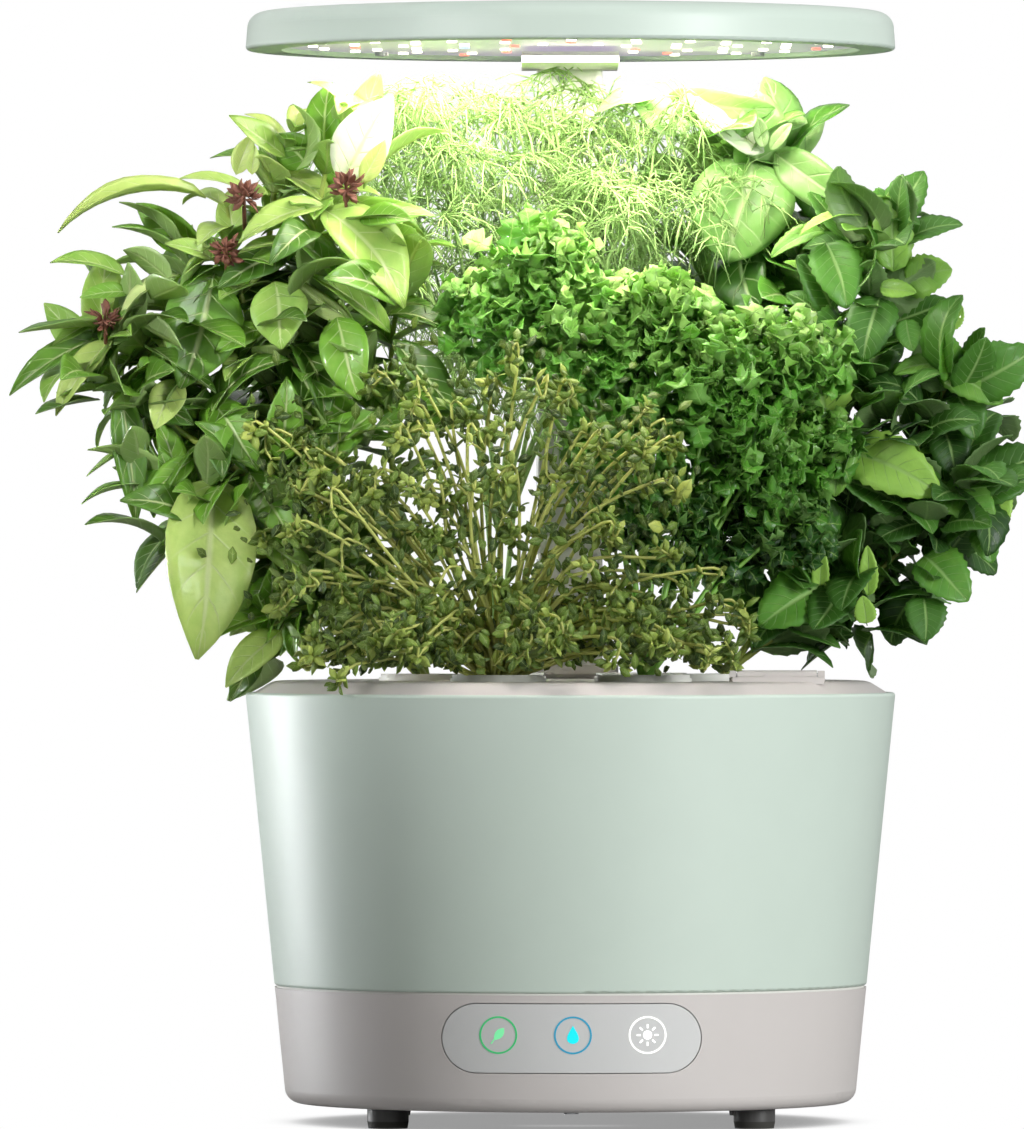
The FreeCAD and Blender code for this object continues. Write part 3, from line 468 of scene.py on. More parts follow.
def dropMark():
    steps = [2 * math.pi * i / 28 for i in range(28)]
    return [[(3.6 * math.sin(t) * math.sin(t / 2) ** 1.6, 3.9 * math.cos(t) + 0.3) for t in steps]]


def sunMark():
    rays = []
    for i in range(8):
        angle = math.pi / 4 * i
        out, side = (math.cos(angle), math.sin(angle)), (-math.sin(angle), math.cos(angle))
        ray = [(2.9, -0.35), (4.6, -0.35), (4.6, 0.35), (2.9, 0.35)]
        rays.append([(out[0] * a + side[0] * b, out[1] * a + side[1] * b) for a, b in ray])
    return [circle(1.9, 24)] + rays


def makeSigns():
    marks = {"leaf": leafMark, "drop": dropMark, "sun": sunMark}
    steps = panel["ringSteps"]
    for name, (centre, kind, ringColour, markColour) in signs.items():
        for part, colour in (("ring", ringColour), ("mark", markColour)):
            bm = bmesh.new()
            if part == "ring":
                rings = [circle(panel[key], steps) for key in ("ringOuter", "ringInner")]
                loops = [[bm.verts.new((x, 0, z)) for x, z in ring] for ring in rings]
                for i in range(steps):
                    j = (i + 1) % steps
                    bm.faces.new((loops[0][i], loops[0][j], loops[1][j], loops[1][i]))
            else:
                for outline in marks[kind]():
                    bm.faces.new([bm.verts.new((x, 0, z)) for x, z in outline])
            grown = bmesh.ops.extrude_face_region(bm, geom=bm.faces[:], use_keep_orig=True)
            for vert in grown["geom"]:
                if isinstance(vert, bmesh.types.BMVert):
                    vert.co.y -= panel["thick"]
            for vert in bm.verts:
                x, z = vert.co.x + centre, vert.co.z + panel["height"]
                radius = panel["rim"] - panel["taper"] * (panel["rimHeight"] - z)
                vert.co = Vector((x, vert.co.y - math.sqrt(radius ** 2 - x ** 2), z)) * mm
            bmesh.ops.recalc_face_normals(bm, faces=bm.faces[:])
            lit = glowing(name + " " + part, colour, 0.55, colour)
            newPiece(name + "_" + part, bm, "root", lit)


makeSigns()
print("signs drawn")


# Leaves. A form is a flat sheet shaped by rule; a leaf is a form turned, stretched and set on a stem.
# "aspect" is half the width over the length, "early" puts the widest place nearer the stalk.
forms = {
    "basil": {"across": 6, "along": 10, "aspect": 0.23, "early": 0.8, "full": 0.85, "fold": 0.35,
              "quilt": 0.010, "veins": 6, "ruffle": 0.010, "teeth": 0.0, "thick": 0.008},
    "broad": {"across": 8, "along": 12, "aspect": 0.33, "early": 0.85, "full": 0.6, "fold": 0.12,
              "quilt": 0.030, "veins": 5, "ruffle": 0.020, "teeth": 0.0, "thick": 0.007},
    "mint": {"across": 6, "along": 16, "aspect": 0.33, "early": 0.72, "full": 0.62, "fold": 0.18,
             "quilt": 0.026, "veins": 7, "ruffle": 0.012, "teeth": 0.05, "thick": 0.008},
    "parsley": {"across": 2, "along": 6, "aspect": 0.45, "early": 1.0, "full": 0.45, "fold": 0.3,
                "quilt": 0.0, "veins": 3, "ruffle": 0.24, "teeth": 0.26, "thick": 0.02},
    "thyme": {"across": 2, "along": 3, "aspect": 0.26, "early": 0.9, "full": 0.7, "fold": -0.2,
              "quilt": 0.0, "veins": 2, "ruffle": 0.0, "teeth": 0.0, "thick": 0.04},
}
bends = {"flat": 0.15, "arched": 0.9, "drooping": 1.5, "lifted": -0.6}  # radians from stalk to tip
variants = 3      # leaves of each form and bend
veinSlant = 0.22  # how far the side veins run towards the tip


def makeForm(form, bend, seed):
    shape = forms[form]
    dice = random.Random(seed)
    phases = [dice.uniform(0, 2 * math.pi) for _ in range(3)]
    bm = bmesh.new()
    bm.loops.layers.uv.new("UVMap")
    under = bm.verts.layers.float.new("under")
    bmesh.ops.create_grid(bm, x_segments=shape["across"], y_segments=shape["along"], size=1.0, calc_uvs=True)
    total = bends[bend] * dice.uniform(0.8, 1.2)
    reach = 2 * math.sin(total / 2) / total
    for vert in bm.verts:
        u, v = vert.co.x, (vert.co.y + 1) / 2
        half = max(math.sin(math.pi * min(v, 0.9999) ** shape["early"]) ** shape["full"], 0.04)
        row = round(v * shape["along"])
        half *= 1 + shape["teeth"] * u ** 4 * (1 if row % 2 else -1)
        x = u * half * shape["aspect"]
        lift = shape["fold"] * abs(x)
        ribs = math.sin(math.pi * shape["veins"] * (v - veinSlant * abs(u))) ** 2
        lift += shape["quilt"] * ribs * math.sin(math.pi * min(abs(u), 1.0)) * half
        wave = math.sin(11 * v + phases[0] + (phases[1] if u > 0 else 0)) * u ** 2
        lift += shape["ruffle"] * wave * half
        turn = total * v
        y = math.sin(turn) / total + lift * math.sin(turn)
        z = (math.cos(turn) - 1) / total + lift * math.cos(turn)
        back = total / 2
        x += 0.04 * math.sin(3 * v + phases[2]) * v
        vert.co = (x, (y * math.cos(back) - z * math.sin(back)) / reach,
                   (y * math.sin(back) + z * math.cos(back)) / reach)
    bm.normal_update()
    upper = set(bm.verts)
    bmesh.ops.solidify(bm, geom=bm.faces[:], thickness=shape["thick"])
    for vert in bm.verts:
        vert[under] = 0.0 if vert in upper else 1.0
    for face in bm.faces:
        face.smooth = len({vert in upper for vert in face.verts}) == 1
    bmesh.ops.recalc_face_normals(bm, faces=bm.faces[:])
    mesh = bpy.data.meshes.new("form")
    bm.to_mesh(mesh)
    bm.free()
    return mesh


def read(items, key, width, kind):
    values = np.empty(len(items) * width, kind)
    items.foreach_get(key, values)
    return values.reshape(-1, width)


def formArrays(mesh):
    return {
        "places": read(mesh.vertices, "co", 3, np.float64),
        "corners": read(mesh.loops, "vertex_index", 1, np.int32),
        "starts": read(mesh.polygons, "loop_start", 1, np.int32),
        "smooth": read(mesh.polygons, "use_smooth", 1, bool),
        "uv": read(mesh.uv_layers[0].data, "uv", 2, np.float64),
        "under": read(mesh.attributes["under"].data, "value", 1, np.float64),
    }


formMeshes = {(form, bend, n): formArrays(makeForm(form, bend, 10 * n + len(bend) + len(form)))
              for form in forms for bend in bends for n in range(variants)}


def startPlant():
    bm = bmesh.new()
    bm.loops.layers.uv.new("UVMap")
    for key in ("toneAndLight", "under", "stem"):
        bm.verts.layers.float.new(key)
    return {"stems": bm, "leaves": []}


# Adds all the leaves of a plant to its stems at once
def addLeaves(bm, leaves):
    mesh = bpy.data.meshes.new("leaves")
    places, corners, starts, tonesAndLight = [], [], [], []
    vertexCount = cornerCount = 0
    for form, matrix, toneAndLight in leaves:
        turned = form["places"] @ matrix[:3, :3].T + matrix[:3, 3]
        places.append(turned)
        corners.append(form["corners"] + vertexCount)
        starts.append(form["starts"] + cornerCount)
        tonesAndLight.append(np.full(len(turned), toneAndLight))
        vertexCount += len(turned)
        cornerCount += len(form["corners"])
    mesh.vertices.add(vertexCount)
    mesh.vertices.foreach_set("co", np.concatenate(places).ravel())
    mesh.loops.add(cornerCount)
    mesh.loops.foreach_set("vertex_index", np.concatenate(corners).ravel())
    starts = np.concatenate(starts).ravel()
    mesh.polygons.add(len(starts))
    mesh.polygons.foreach_set("loop_start", starts)
    mesh.polygons.foreach_set("use_smooth", np.concatenate([f["smooth"] for f, _, _ in leaves]).ravel())
    mesh.update(calc_edges=True)
    uv = mesh.uv_layers.new(name="UVMap")
    uv.data.foreach_set("uv", np.concatenate([f["uv"] for f, _, _ in leaves]).ravel())
    unders = np.concatenate([f["under"] for f, _, _ in leaves]).ravel()
    for key, values in (("toneAndLight", np.concatenate(tonesAndLight)), ("under", unders), ("stem", np.zeros(vertexCount))):
        mesh.attributes.new(key, "FLOAT", "POINT").data.foreach_set("value", values)
    bm.from_mesh(mesh)


# False where a leaf would meet the flap's swing, the float's rod, the mast, the lamp, the deck or the bowl
def clearOfPieces(place):
    x, y, z = (c / mm for c in place)
    nearFlap = 64 < x < 112 and -82 < y < -38 and z < 232
    nearFloat = abs(x) < 8 and -121 < y < -103 and z < 228
    nearMast = abs(x) < 22 and y > 92
    inDeck = z < 194 and x ** 2 + y ** 2 < 138 ** 2
    inBowl = z < 188 and x ** 2 + y ** 2 < 144 ** 2
    return not (nearFlap or nearFloat or nearMast or inDeck or inBowl) and z < 456


def putLeaf(plant, form, bend, start, tip, width, facing, toneAndLight):
    if not (clearOfPieces(tip) and clearOfPieces((start + tip) / 2)):
        return
    along = tip - start
    across = along.cross(facing).normalized()
    normal = across.cross(along).normalized()
    matrix = np.eye(4)
    matrix[:3, 0] = across * width / 2 / forms[form]["aspect"]
    matrix[:3, 1] = along
    matrix[:3, 2] = normal * along.length
    matrix[:3, 3] = start
    plant["leaves"].append((formMeshes[form, bend, len(plant["leaves"]) % variants], matrix, toneAndLight))


def putStem(plant, places, thick, thin, toneAndLight=0.5, steps=4, sides=5):
    path = smoothPath([Vector(p) * mm for p in places], steps)
    tube(plant["stems"], path, thick * mm, thin * mm, sides, {"stem": 1.0, "toneAndLight": toneAndLight})
    return path


# A stem with leaves in crossed pairs, small ones at its tip
def leafyStem(plant, form, places, dice, look):
    path = putStem(plant, places, look["thick"], look["thin"], dice.uniform(0.3, 0.8))
    pairTurn = dice.uniform(0, math.pi)
    total = sum((b - a).length for a, b in zip(path, path[1:]))
    nextAt = look["bare"] * total
    covered = 0.0
    for a, b in zip(path, path[1:]):
        covered += (b - a).length
        while nextAt <= covered:
            share = nextAt / total
            way = (b - a).normalized()
            side = way.cross(Vector((0.2, 1, 0.1))).normalized()
            turned = Matrix.Rotation(pairTurn, 3, way) @ side
            size = look["leaf"] * mm * (1.05 - 0.45 * share) * dice.uniform(0.75, 1.15)
            for sign in (-1, 1):
                out = (turned * sign + way * dice.uniform(0.1, 0.7)).normalized()
                out.z += dice.uniform(*look["rise"])
                tip = b + out.normalized() * size
                facing = (way + Vector((0, -0.5, 0.3)) * dice.uniform(0.2, 1.4)).normalized()
                bend = dice.choice(look["bends"])
                # higher leaves are paler: painted light from the lamp above, with random spread
                toneAndLight = min(max((tip.z - 0.20) / 0.26 * 0.5 + dice.uniform(-0.1, 0.5), 0), 1)
                width = size * look["wide"] * dice.uniform(0.85, 1.15)
                putLeaf(plant, form, bend, b, tip, width, facing, toneAndLight)
            pairTurn += math.pi / 2 + dice.uniform(-0.3, 0.3)
            nextAt += look["gap"] * mm * (1.1 - 0.5 * share)


# Leaves read from the photograph: stalk column and row, tip column and row, width in pixels,
# depths of stalk and tip in mm, turn of the upper face in degrees, tone with painted light and shade, and
# bend
def photoLeaves(plant, form, rows):
    toCamera = Vector((0, -1, 0.45)).normalized()
    for c0, r0, c1, r1, width, d0, d1, turn, toneAndLight, bend in rows.values():
        start, tip = fromPhoto(c0, r0, d0 * mm), fromPhoto(c1, r1, d1 * mm)
        facing = Matrix.Rotation(math.radians(turn), 3, (tip - start).normalized()) @ toCamera
        putLeaf(plant, form, bend, start, tip, width / photo["perMetre"], facing, toneAndLight)


# A vector whose three parts are drawn one after the other
def drawn(draw, *ranges):
    return Vector([draw(*each) for each in ranges])


# Small leaves facing outward in a round clump
def leafCloud(plant, form, centre, radius, count, sizes, wide, dice, bendNames, light=0.0):
    for _ in range(count):
        way = drawn(dice.gauss, (0, 1), (0, 1), (0, 1)).normalized()
        start = Vector(centre) + way * radius * dice.uniform(0.25, 0.85)
        lean = way + drawn(dice.uniform, (-0.8, 0.8), (-0.8, 0.8), (-0.2, 0.9))
        size = dice.uniform(*sizes)
        facing = drawn(dice.uniform, (-0.7, 0.7), (-1.2, 0.4), (0.2, 1.2))
        # leaves on top of a clump are paler and light shifts the whole clump: painted light and shade, with
        # random spread
        toneAndLight = 0.1 + 0.5 * (way.z * 0.5 + 0.5) * dice.uniform(0.4, 1.6) + light
        tip = start + lean.normalized() * size
        putLeaf(plant, form, dice.choice(bendNames), start * mm, tip * mm, size * wide * mm, facing, toneAndLight)


# Leaf colours: in painted shade, in ordinary light, and young and in painted bright light; then veins,
# underside and stem
leafColours = {
    "basil": ("#2f5a1c", "#7fb63c", "#d2e488", "#dfe9b0", "#b4c88c", "#aebe5e"),
    "broad basil": ("#2f5c1e", "#6fb040", "#c0e09a", "#d0e6a8", "#b0c48a", "#93b258"),
    "mint": ("#1f4516", "#5f9c38", "#aedb62", "#a8cc7c", "#98b07c", "#909848"),
    "parsley": ("#1f4c14", "#6cb23c", "#b8e078", "#a8d070", "#8ab862", "#92c858"),
    "thyme": ("#2f4a1c", "#7d9c40", "#c6d46c", "#b4c474", "#a0b070", "#d4d880"),
    "dill": ("#4f8440", "#a0cc88", "#eef4e0", "#c4e0a0", "#a8cc84", "#b4d884"),
}


# Living leaf: waxy skin over green flesh that lets some light through
def leafMaterial(name, veins, rough=0.42, coat=0.12):
    shade, usual, youngAndLit, vein, under, stem = (linear(c) for c in leafColours[name])
    made, tree = newMaterial(name + " leaf")
    toneAndLight, below, isStem = (addNode(tree, "ShaderNodeAttribute", {"attribute_name": key}).outputs["Fac"]
                           for key in ("toneAndLight", "under", "stem"))
    # the tone holds the leaf's own tone and painted light and shade: higher tones paint leaves lit by the
    # lamp
    mottled = maths(tree, "ADD", toneAndLight, ramp(tree, noiseTexture(tree, 6), 0.3, 3.2))
    green = mixColour(tree, ramp(tree, mottled, 0.0, 0.55), shade, usual)
    green = mixColour(tree, ramp(tree, mottled, 0.55, 1.05), green, youngAndLit)
    # the highest tones turn near white: painted glare under the lamp
    green = mixColour(tree, ramp(tree, toneAndLight, 1.05, 1.3), green, linear("#eef4dc"))
    place = addNode(tree, "ShaderNodeUVMap", {"uv_map": "UVMap"})
    parts = addNode(tree, "ShaderNodeSeparateXYZ", inputs={0: place.outputs[0]})
    aside = maths(tree, "ABSOLUTE", maths(tree, "MULTIPLY_ADD", parts.outputs["X"], 2.0, -1.0))
    slant = maths(tree, "MULTIPLY_ADD", aside, -veinSlant, parts.outputs["Y"])
    beat = maths(tree, "PINGPONG", maths(tree, "MULTIPLY", slant, float(veins)), 0.5)
    ribs = maths(tree, "MULTIPLY", ramp(tree, beat, 0.07, 0.0), ramp(tree, aside, 1.0, 0.3))
    lines = maths(tree, "MAXIMUM", ribs, ramp(tree, aside, 0.10, 0.03))
    base = mixColour(tree, maths(tree, "MULTIPLY", lines, 0.75), green, vein)
    base = mixColour(tree, maths(tree, "MULTIPLY", below, 0.6), base, under)
    base = mixColour(tree, isStem, base, stem)
    height = maths(tree, "MULTIPLY_ADD", lines, -1.0, maths(tree, "MULTIPLY", noiseTexture(tree, 2.2), 0.9))
    bump = addNode(tree, "ShaderNodeBump", inputs={"Height": height, "Strength": 0.7, "Distance": 0.45 * mm})
    skin = principled(tree, {"Base Color": base, "Roughness": rough, "IOR": 1.45, "Coat Weight": coat,
                             "Normal": bump.outputs["Normal"]})
    glow = mixColour(tree, 0.5, base, youngAndLit)
    through = addNode(tree, "ShaderNodeBsdfTranslucent", inputs={"Color": glow})
    mixed = addNode(tree, "ShaderNodeMixShader", inputs={0: 0.36, 1: skin, 2: through.outputs[0]})
    output(tree, mixed.outputs[0])
    return made


def finishPlant(name, plant, material):
    bm = plant["stems"]
    if plant["leaves"]:
        addLeaves(bm, plant["leaves"])
    piece = newPiece(name + "_foliage", bm, "root", material)
    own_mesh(piece)
    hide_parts(name)
    print(name, len(piece.data.polygons), "faces")


def makeLeftBasil():
    dice = random.Random(4)
    plant = startPlant()
    look = {"leaf": 44, "wide": 0.46, "gap": 13, "bare": 0.15, "thick": 2.2, "thin": 0.8,
            "rise": (-0.6, 0.3), "bends": ["arched", "drooping", "flat", "arched"]}
    stems = [
        [(-62, 0, 189), (-78, 0, 206), (-104, 0, 234), (-122, 0, 266), (-150, 0, 306), (-186, 0, 348)],
        [(-96, 0, 226), (-124, 4, 300), (-142, 2, 356), (-148, 0, 394)],
        [(-62, 0, 189), (-92, 6, 250), (-108, 6, 330), (-108, 2, 396), (-96, 2, 436)],
        [(-104, 0, 234), (-140, -6, 246), (-168, -8, 256), (-190, -8, 290)],
        [(-122, 0, 266), (-160, -4, 292), (-196, -4, 316), (-214, -4, 330)],
        [(-124, 4, 300), (-100, 10, 350), (-84, 8, 380)],
        [(-90, 4, 216), (-112, -10, 222), (-128, -14, 214)],
        [(-62, 4, 189), (-74, 14, 250), (-78, 14, 320), (-72, 12, 372)],
        [(-104, 0, 234), (-132, 8, 270), (-166, 10, 300), (-176, 6, 334)],
        [(-92, 6, 250), (-128, 14, 340), (-128, 12, 400), (-120, 6, 426)],
        [(-150, 0, 306), (-180, 8, 330), (-206, 4, 344)],
    ]
    clumps = [((-112, 0, 226), 20), ((-122, 0, 268), 30), ((-160, -4, 262), 26), ((-150, 0, 310), 34),
              ((-196, -4, 320), 26), ((-180, 0, 350), 28), ((-142, 0, 360), 40), ((-106, 0, 390), 38),
              ((-88, 2, 350), 28), ((-90, 4, 300), 26), ((-132, 2, 210), 16)]
    for centre, radius in clumps:
        leafCloud(plant, "basil", centre, radius, 16, (26, 46), 0.45, dice, look["bends"], -0.1)
    for places in stems:
        leafyStem(plant, "basil", places, dice, look)
    rows = {
        "arched pale": (206, 198, 58, 234, 20, -6, -12, 30, 0.95, "drooping"),
        "upper left": (250, 194, 178, 180, 14, -6, -10, 20, 0.8, "arched"),
        "upper yellow": (236, 175, 252, 133, 22, -4, -4, 0, 1.0, "lifted"),
        "upper orange": (252, 175, 254, 146, 14, -8, -8, 0, 0.9, "flat"),
        "upper dark": (309, 167, 276, 133, 40, 4, 4, -30, 0.3, "flat"),
        "overexposed": (341, 184, 393, 97, 58, -14, -20, 10, 1.3, "flat"),
        "yellow": (362, 184, 384, 139, 22, -20, -24, 20, 1.0, "flat"),
        "shiny arched": (325, 206, 239, 245, 32, -14, -24, 20, 0.75, "arched"),
        "big drooping": (323, 209, 407, 307, 70, -14, -26, -20, 0.7, "arched"),
        "low right": (337, 203, 429, 215, 24, -10, -6, 30, 0.6, "arched"),
        "middle small": (295, 245, 238, 255, 16, -16, -20, 20, 0.7, "arched"),
        "big dark": (215, 274, 180, 389, 80, -8, -20, -10, 0.25, "flat"),
        "folded pink": (180, 276, 118, 324, 22, -12, -22, 40, 1.1, "arched"),
        "left narrow": (126, 276, 50, 264, 24, -8, -10, 25, 0.6, "arched"),
        "left small": (129, 293, 80, 299, 20, -10, -16, 10, 0.5, "arched"),
        "left lower": (101, 316, 53, 347, 18, -8, -12, 10, 0.6, "flat"),
        "left dark": (108, 335, 10, 397, 28, -4, -8, 10, 0.2, "arched"),
        "left light": (112, 341, 57, 417, 30, -12, -18, 20, 0.9, "arched"),
        "inner left": (213, 260, 165, 243, 20, -14, -18, 10, 0.7, "arched"),
        "pale underside": (351, 321, 288, 278, 24, -14, -20, 180, 0.9, "flat"),
        "right arm": (390, 333, 309, 276, 24, -8, -16, 10, 0.6, "arched"),
        "mid green": (275, 282, 286, 349, 58, -16, -26, 0, 0.65, "flat"),
        "mid right": (337, 318, 362, 400, 50, -18, -28, 10, 0.5, "arched"),
        "narrow dark": (121, 386, 136, 526, 34, -8, -14, 0, 0.15, "flat"),
        "big bright": (216, 478, 191, 659, 92, -12, -34, -8, 0.85, "arched"),
        "yellow green": (180, 380, 153, 429, 36, -12, -20, 0, 0.9, "flat"),
        "small left": (194, 459, 146, 500, 26, -16, -22, 0, 0.5, "arched"),
        "low small": (286, 616, 199, 645, 28, -16, -30, 20, 0.55, "arched"),
        "low bright": (281, 632, 227, 689, 36, -20, -30, 0, 0.8, "arched"),
        "low green": (283, 602, 258, 691, 60, -24, -30, 0, 0.5, "flat"),
        "low dark": (281, 576, 244, 621, 32, -14, -20, 0, 0.3, "flat"),
        "pale curved": (309, 624, 362, 683, 24, -24, -40, 0, 1.0, "drooping"),
        "centre upper": (262, 330, 214, 352, 30, -12, -18, 10, 0.5, "arched"),
        "centre left": (212, 402, 260, 470, 44, -12, -22, 0, 0.4, "arched"),
        "centre low": (248, 470, 292, 546, 44, -10, -22, 0, 0.45, "flat"),
        "stem right": (262, 540, 318, 590, 30, -12, -18, 0, 0.6, "arched"),
        "stem left": (236, 560, 176, 580, 24, -10, -16, 0, 0.4, "arched"),
    }
    photoLeaves(plant, "basil", rows)
    finishPlant("basil_flowering", plant, leafMaterial("basil", 6, 0.36, 0.25))


# The dry purple-brown flower heads at the tips of the left basil
def makeBuds():
    dice = random.Random(7)
    plant = startPlant()
    heads = {"far left": (105, 319), "upper": (244, 197), "middle": (226, 251), "right": (346, 187)}
    for column, row in heads.values():
        centre = fromPhoto(column, row, -22 * mm) / mm
        putStem(plant, [centre - Vector((0, -12, 14)), centre, centre + Vector((0, 0, 5))], 1.0, 0.5, 0.5, 2)
        leafCloud(plant, "thyme", centre, 4, 34, (4, 8), 0.5, dice, ["arched", "lifted"])
    bm = plant["stems"]
    addLeaves(bm, plant["leaves"])
    piece = newPiece("basil_buds", bm, "root", solid("dry calyx", "#7a4a38", 0.65, shade=0.4))
    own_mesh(piece)


def makeBroadBasil():
    dice = random.Random(2)
    plant = startPlant()
    look = {"leaf": 46, "wide": 0.7, "gap": 20, "bare": 0.25, "thick": 2.6, "thin": 1.2,
            "rise": (-0.4, 0.3), "bends": ["arched", "drooping", "arched"]}
    stems = [
        [(31, 53.7, 189), (46, 60, 236), (66, 68, 300), (84, 70, 352), (84, 68, 402), (84, 64, 424)],
        [(66, 68, 300), (60, 66, 360), (62, 62, 424)],
        [(84, 70, 340), (100, 66, 372), (106, 62, 396)],
    ]
    clumps = [((72, 70, 304), 22), ((94, 70, 352), 26), ((84, 67, 396), 30), ((62, 62, 424), 22)]
    for centre, radius in clumps:
        leafCloud(plant, "broad", centre, radius, 9, (34, 52), 0.68, dice, look["bends"], -0.05)
    for places in stems:
        leafyStem(plant, "broad", places, dice, look)
    rows = {
        "top cupped": (669, 95, 775, 107, 46, 44, 40, 60, 0.8, "arched"),
        "top left": (664, 98, 596, 112, 40, 44, 40, 40, 0.9, "arched"),
        "main": (754, 160, 731, 264, 104, 46, 34, -6, 0.62, "arched"),
        "right": (775, 153, 862, 215, 46, 46, 36, 30, 0.7, "arched"),
        "overexposed": (764, 153, 684, 97, 48, 40, 34, 20, 1.3, "flat"),
        "right dark": (798, 169, 842, 225, 52, 58, 56, 0, 0.25, "arched"),
        "upper left": (690, 130, 635, 104, 50, 48, 44, 20, 0.7, "flat"),
        "behind": (785, 251, 710, 318, 56, 64, 58, 0, 0.15, "arched"),
        "new one": (764, 148, 757, 118, 16, 34, 30, 0, 1.0, "lifted"),
        "new two": (770, 150, 792, 124, 15, 34, 30, 0, 0.9, "flat"),
        "low behind": (740, 330, 800, 372, 44, 66, 60, 0, 0.2, "arched"),
        "right low": (806, 250, 852, 300, 40, 60, 56, 0, 0.35, "arched"),
    }
    photoLeaves(plant, "broad", rows)
    finishPlant("basil_large", plant, leafMaterial("broad basil", 5, 0.3, 0.3))


def makeMint():
    dice = random.Random(1)
    plant = startPlant()
    look = {"leaf": 33, "wide": 0.66, "gap": 13, "bare": 0.12, "thick": 1.7, "thin": 0.9,
            "rise": (-0.3, 0.4), "bends": ["arched", "flat", "arched", "drooping"]}
    stems = [
        [(62, 0, 189), (84, 2, 206), (110, 4, 222), (136, 2, 240), (156, 0, 262)],
        [(70, 0, 196), (98, 4, 240), (118, 6, 280), (130, 4, 330), (128, 8, 372), (134, 6, 396)],
        [(110, 4, 222), (134, 4, 262), (152, 2, 296), (166, 0, 326)],
        [(76, 4, 200), (96, 14, 214), (118, 20, 222)],
        [(118, 6, 280), (110, 10, 330), (112, 12, 366)],
        [(98, 4, 240), (140, 10, 250), (170, 6, 268)],
    ]
    clumps = [((100, 6, 224), 20), ((124, 4, 242), 28), ((154, 2, 262), 24), ((132, 6, 300), 30),
              ((160, 2, 312), 24), ((122, 8, 346), 28), ((132, 6, 376), 20), ((100, 10, 280), 22),
              ((134, 0, 298), 24), ((124, 2, 216), 18), ((150, 4, 240), 20), ((168, -2, 276), 18)]
    for centre, radius in clumps:
        leafCloud(plant, "mint", centre, radius, 15, (22, 36), 0.66, dice, look["bends"], -0.15)
    for places in stems:
        leafyStem(plant, "mint", places, dice, look)
    rows = {
        "top upright": (893, 272, 894, 188, 42, -4, 0, 0, 0.75, "flat"),
        "top grey": (826, 243, 848, 309, 52, 2, -10, 0, 0.45, "arched"),
        "top left": (823, 231, 772, 259, 24, 2, -4, 20, 0.6, "arched"),
        "pale edge": (862, 216, 800, 236, 20, 0, -6, 40, 0.9, "arched"),
        "top right": (906, 285, 952, 269, 44, -4, -10, 10, 0.7, "arched"),
        "small right": (880, 287, 916, 294, 20, -8, -14, 10, 0.8, "flat"),
        "dark hanging": (880, 298, 863, 362, 50, -4, -14, 0, 0.2, "arched"),
        "small hanging": (906, 320, 912, 352, 26, -8, -12, 0, 0.5, "flat"),
        "bright upward": (826, 419, 811, 344, 62, -10, -16, 0, 0.95, "flat"),
        "small left": (826, 420, 785, 440, 26, -12, -18, 0, 0.8, "arched"),
        "middle down": (828, 424, 836, 497, 50, -12, -22, 0, 0.6, "arched"),
        "big pale": (851, 453, 942, 491, 60, -14, -24, 10, 0.9, "arched"),
        "tip one": (948, 330, 962, 306, 18, 0, 0, 0, 0.9, "lifted"),
        "tip two": (950, 330, 934, 312, 16, -2, -4, 0, 0.8, "flat"),
        "far right": (942, 372, 1004, 402, 36, -4, -10, 10, 0.6, "arched"),
        "inner right": (942, 365, 893, 375, 24, -4, -10, 10, 0.6, "arched"),
        "dark round": (958, 396, 976, 440, 40, -2, -8, 0, 0.25, "arched"),
        "very dark": (944, 430, 958, 476, 44, 4, -2, 0, 0.05, "arched"),
        "right broad": (944, 486, 994, 520, 50, -6, -16, 0, 0.55, "arched"),
        "right small": (996, 488, 1004, 526, 28, -8, -12, 0, 0.95, "flat"),
        "right low": (978, 530, 994, 563, 30, -6, -12, 0, 0.5, "arched"),
        "crinkled": (924, 556, 968, 602, 54, -10, -22, 0, 0.5, "arched"),
        "round dark": (924, 598, 926, 642, 42, -16, -24, 0, 0.2, "arched"),
        "big dark": (868, 590, 856, 682, 92, -14, -34, 0, 0.3, "arched"),
        "left crinkled": (826, 584, 762, 630, 64, -12, -26, 0, 0.5, "arched"),
        "bright one": (820, 596, 822, 546, 18, -14, -18, 0, 1.0, "flat"),
        "bright two": (868, 596, 868, 546, 20, -14, -18, 0, 1.0, "flat"),
        "bright three": (866, 624, 864, 596, 22, -30, -34, 0, 0.9, "flat"),
    }
    photoLeaves(plant, "mint", rows)
    finishPlant("mint", plant, leafMaterial("mint", 8, 0.5))


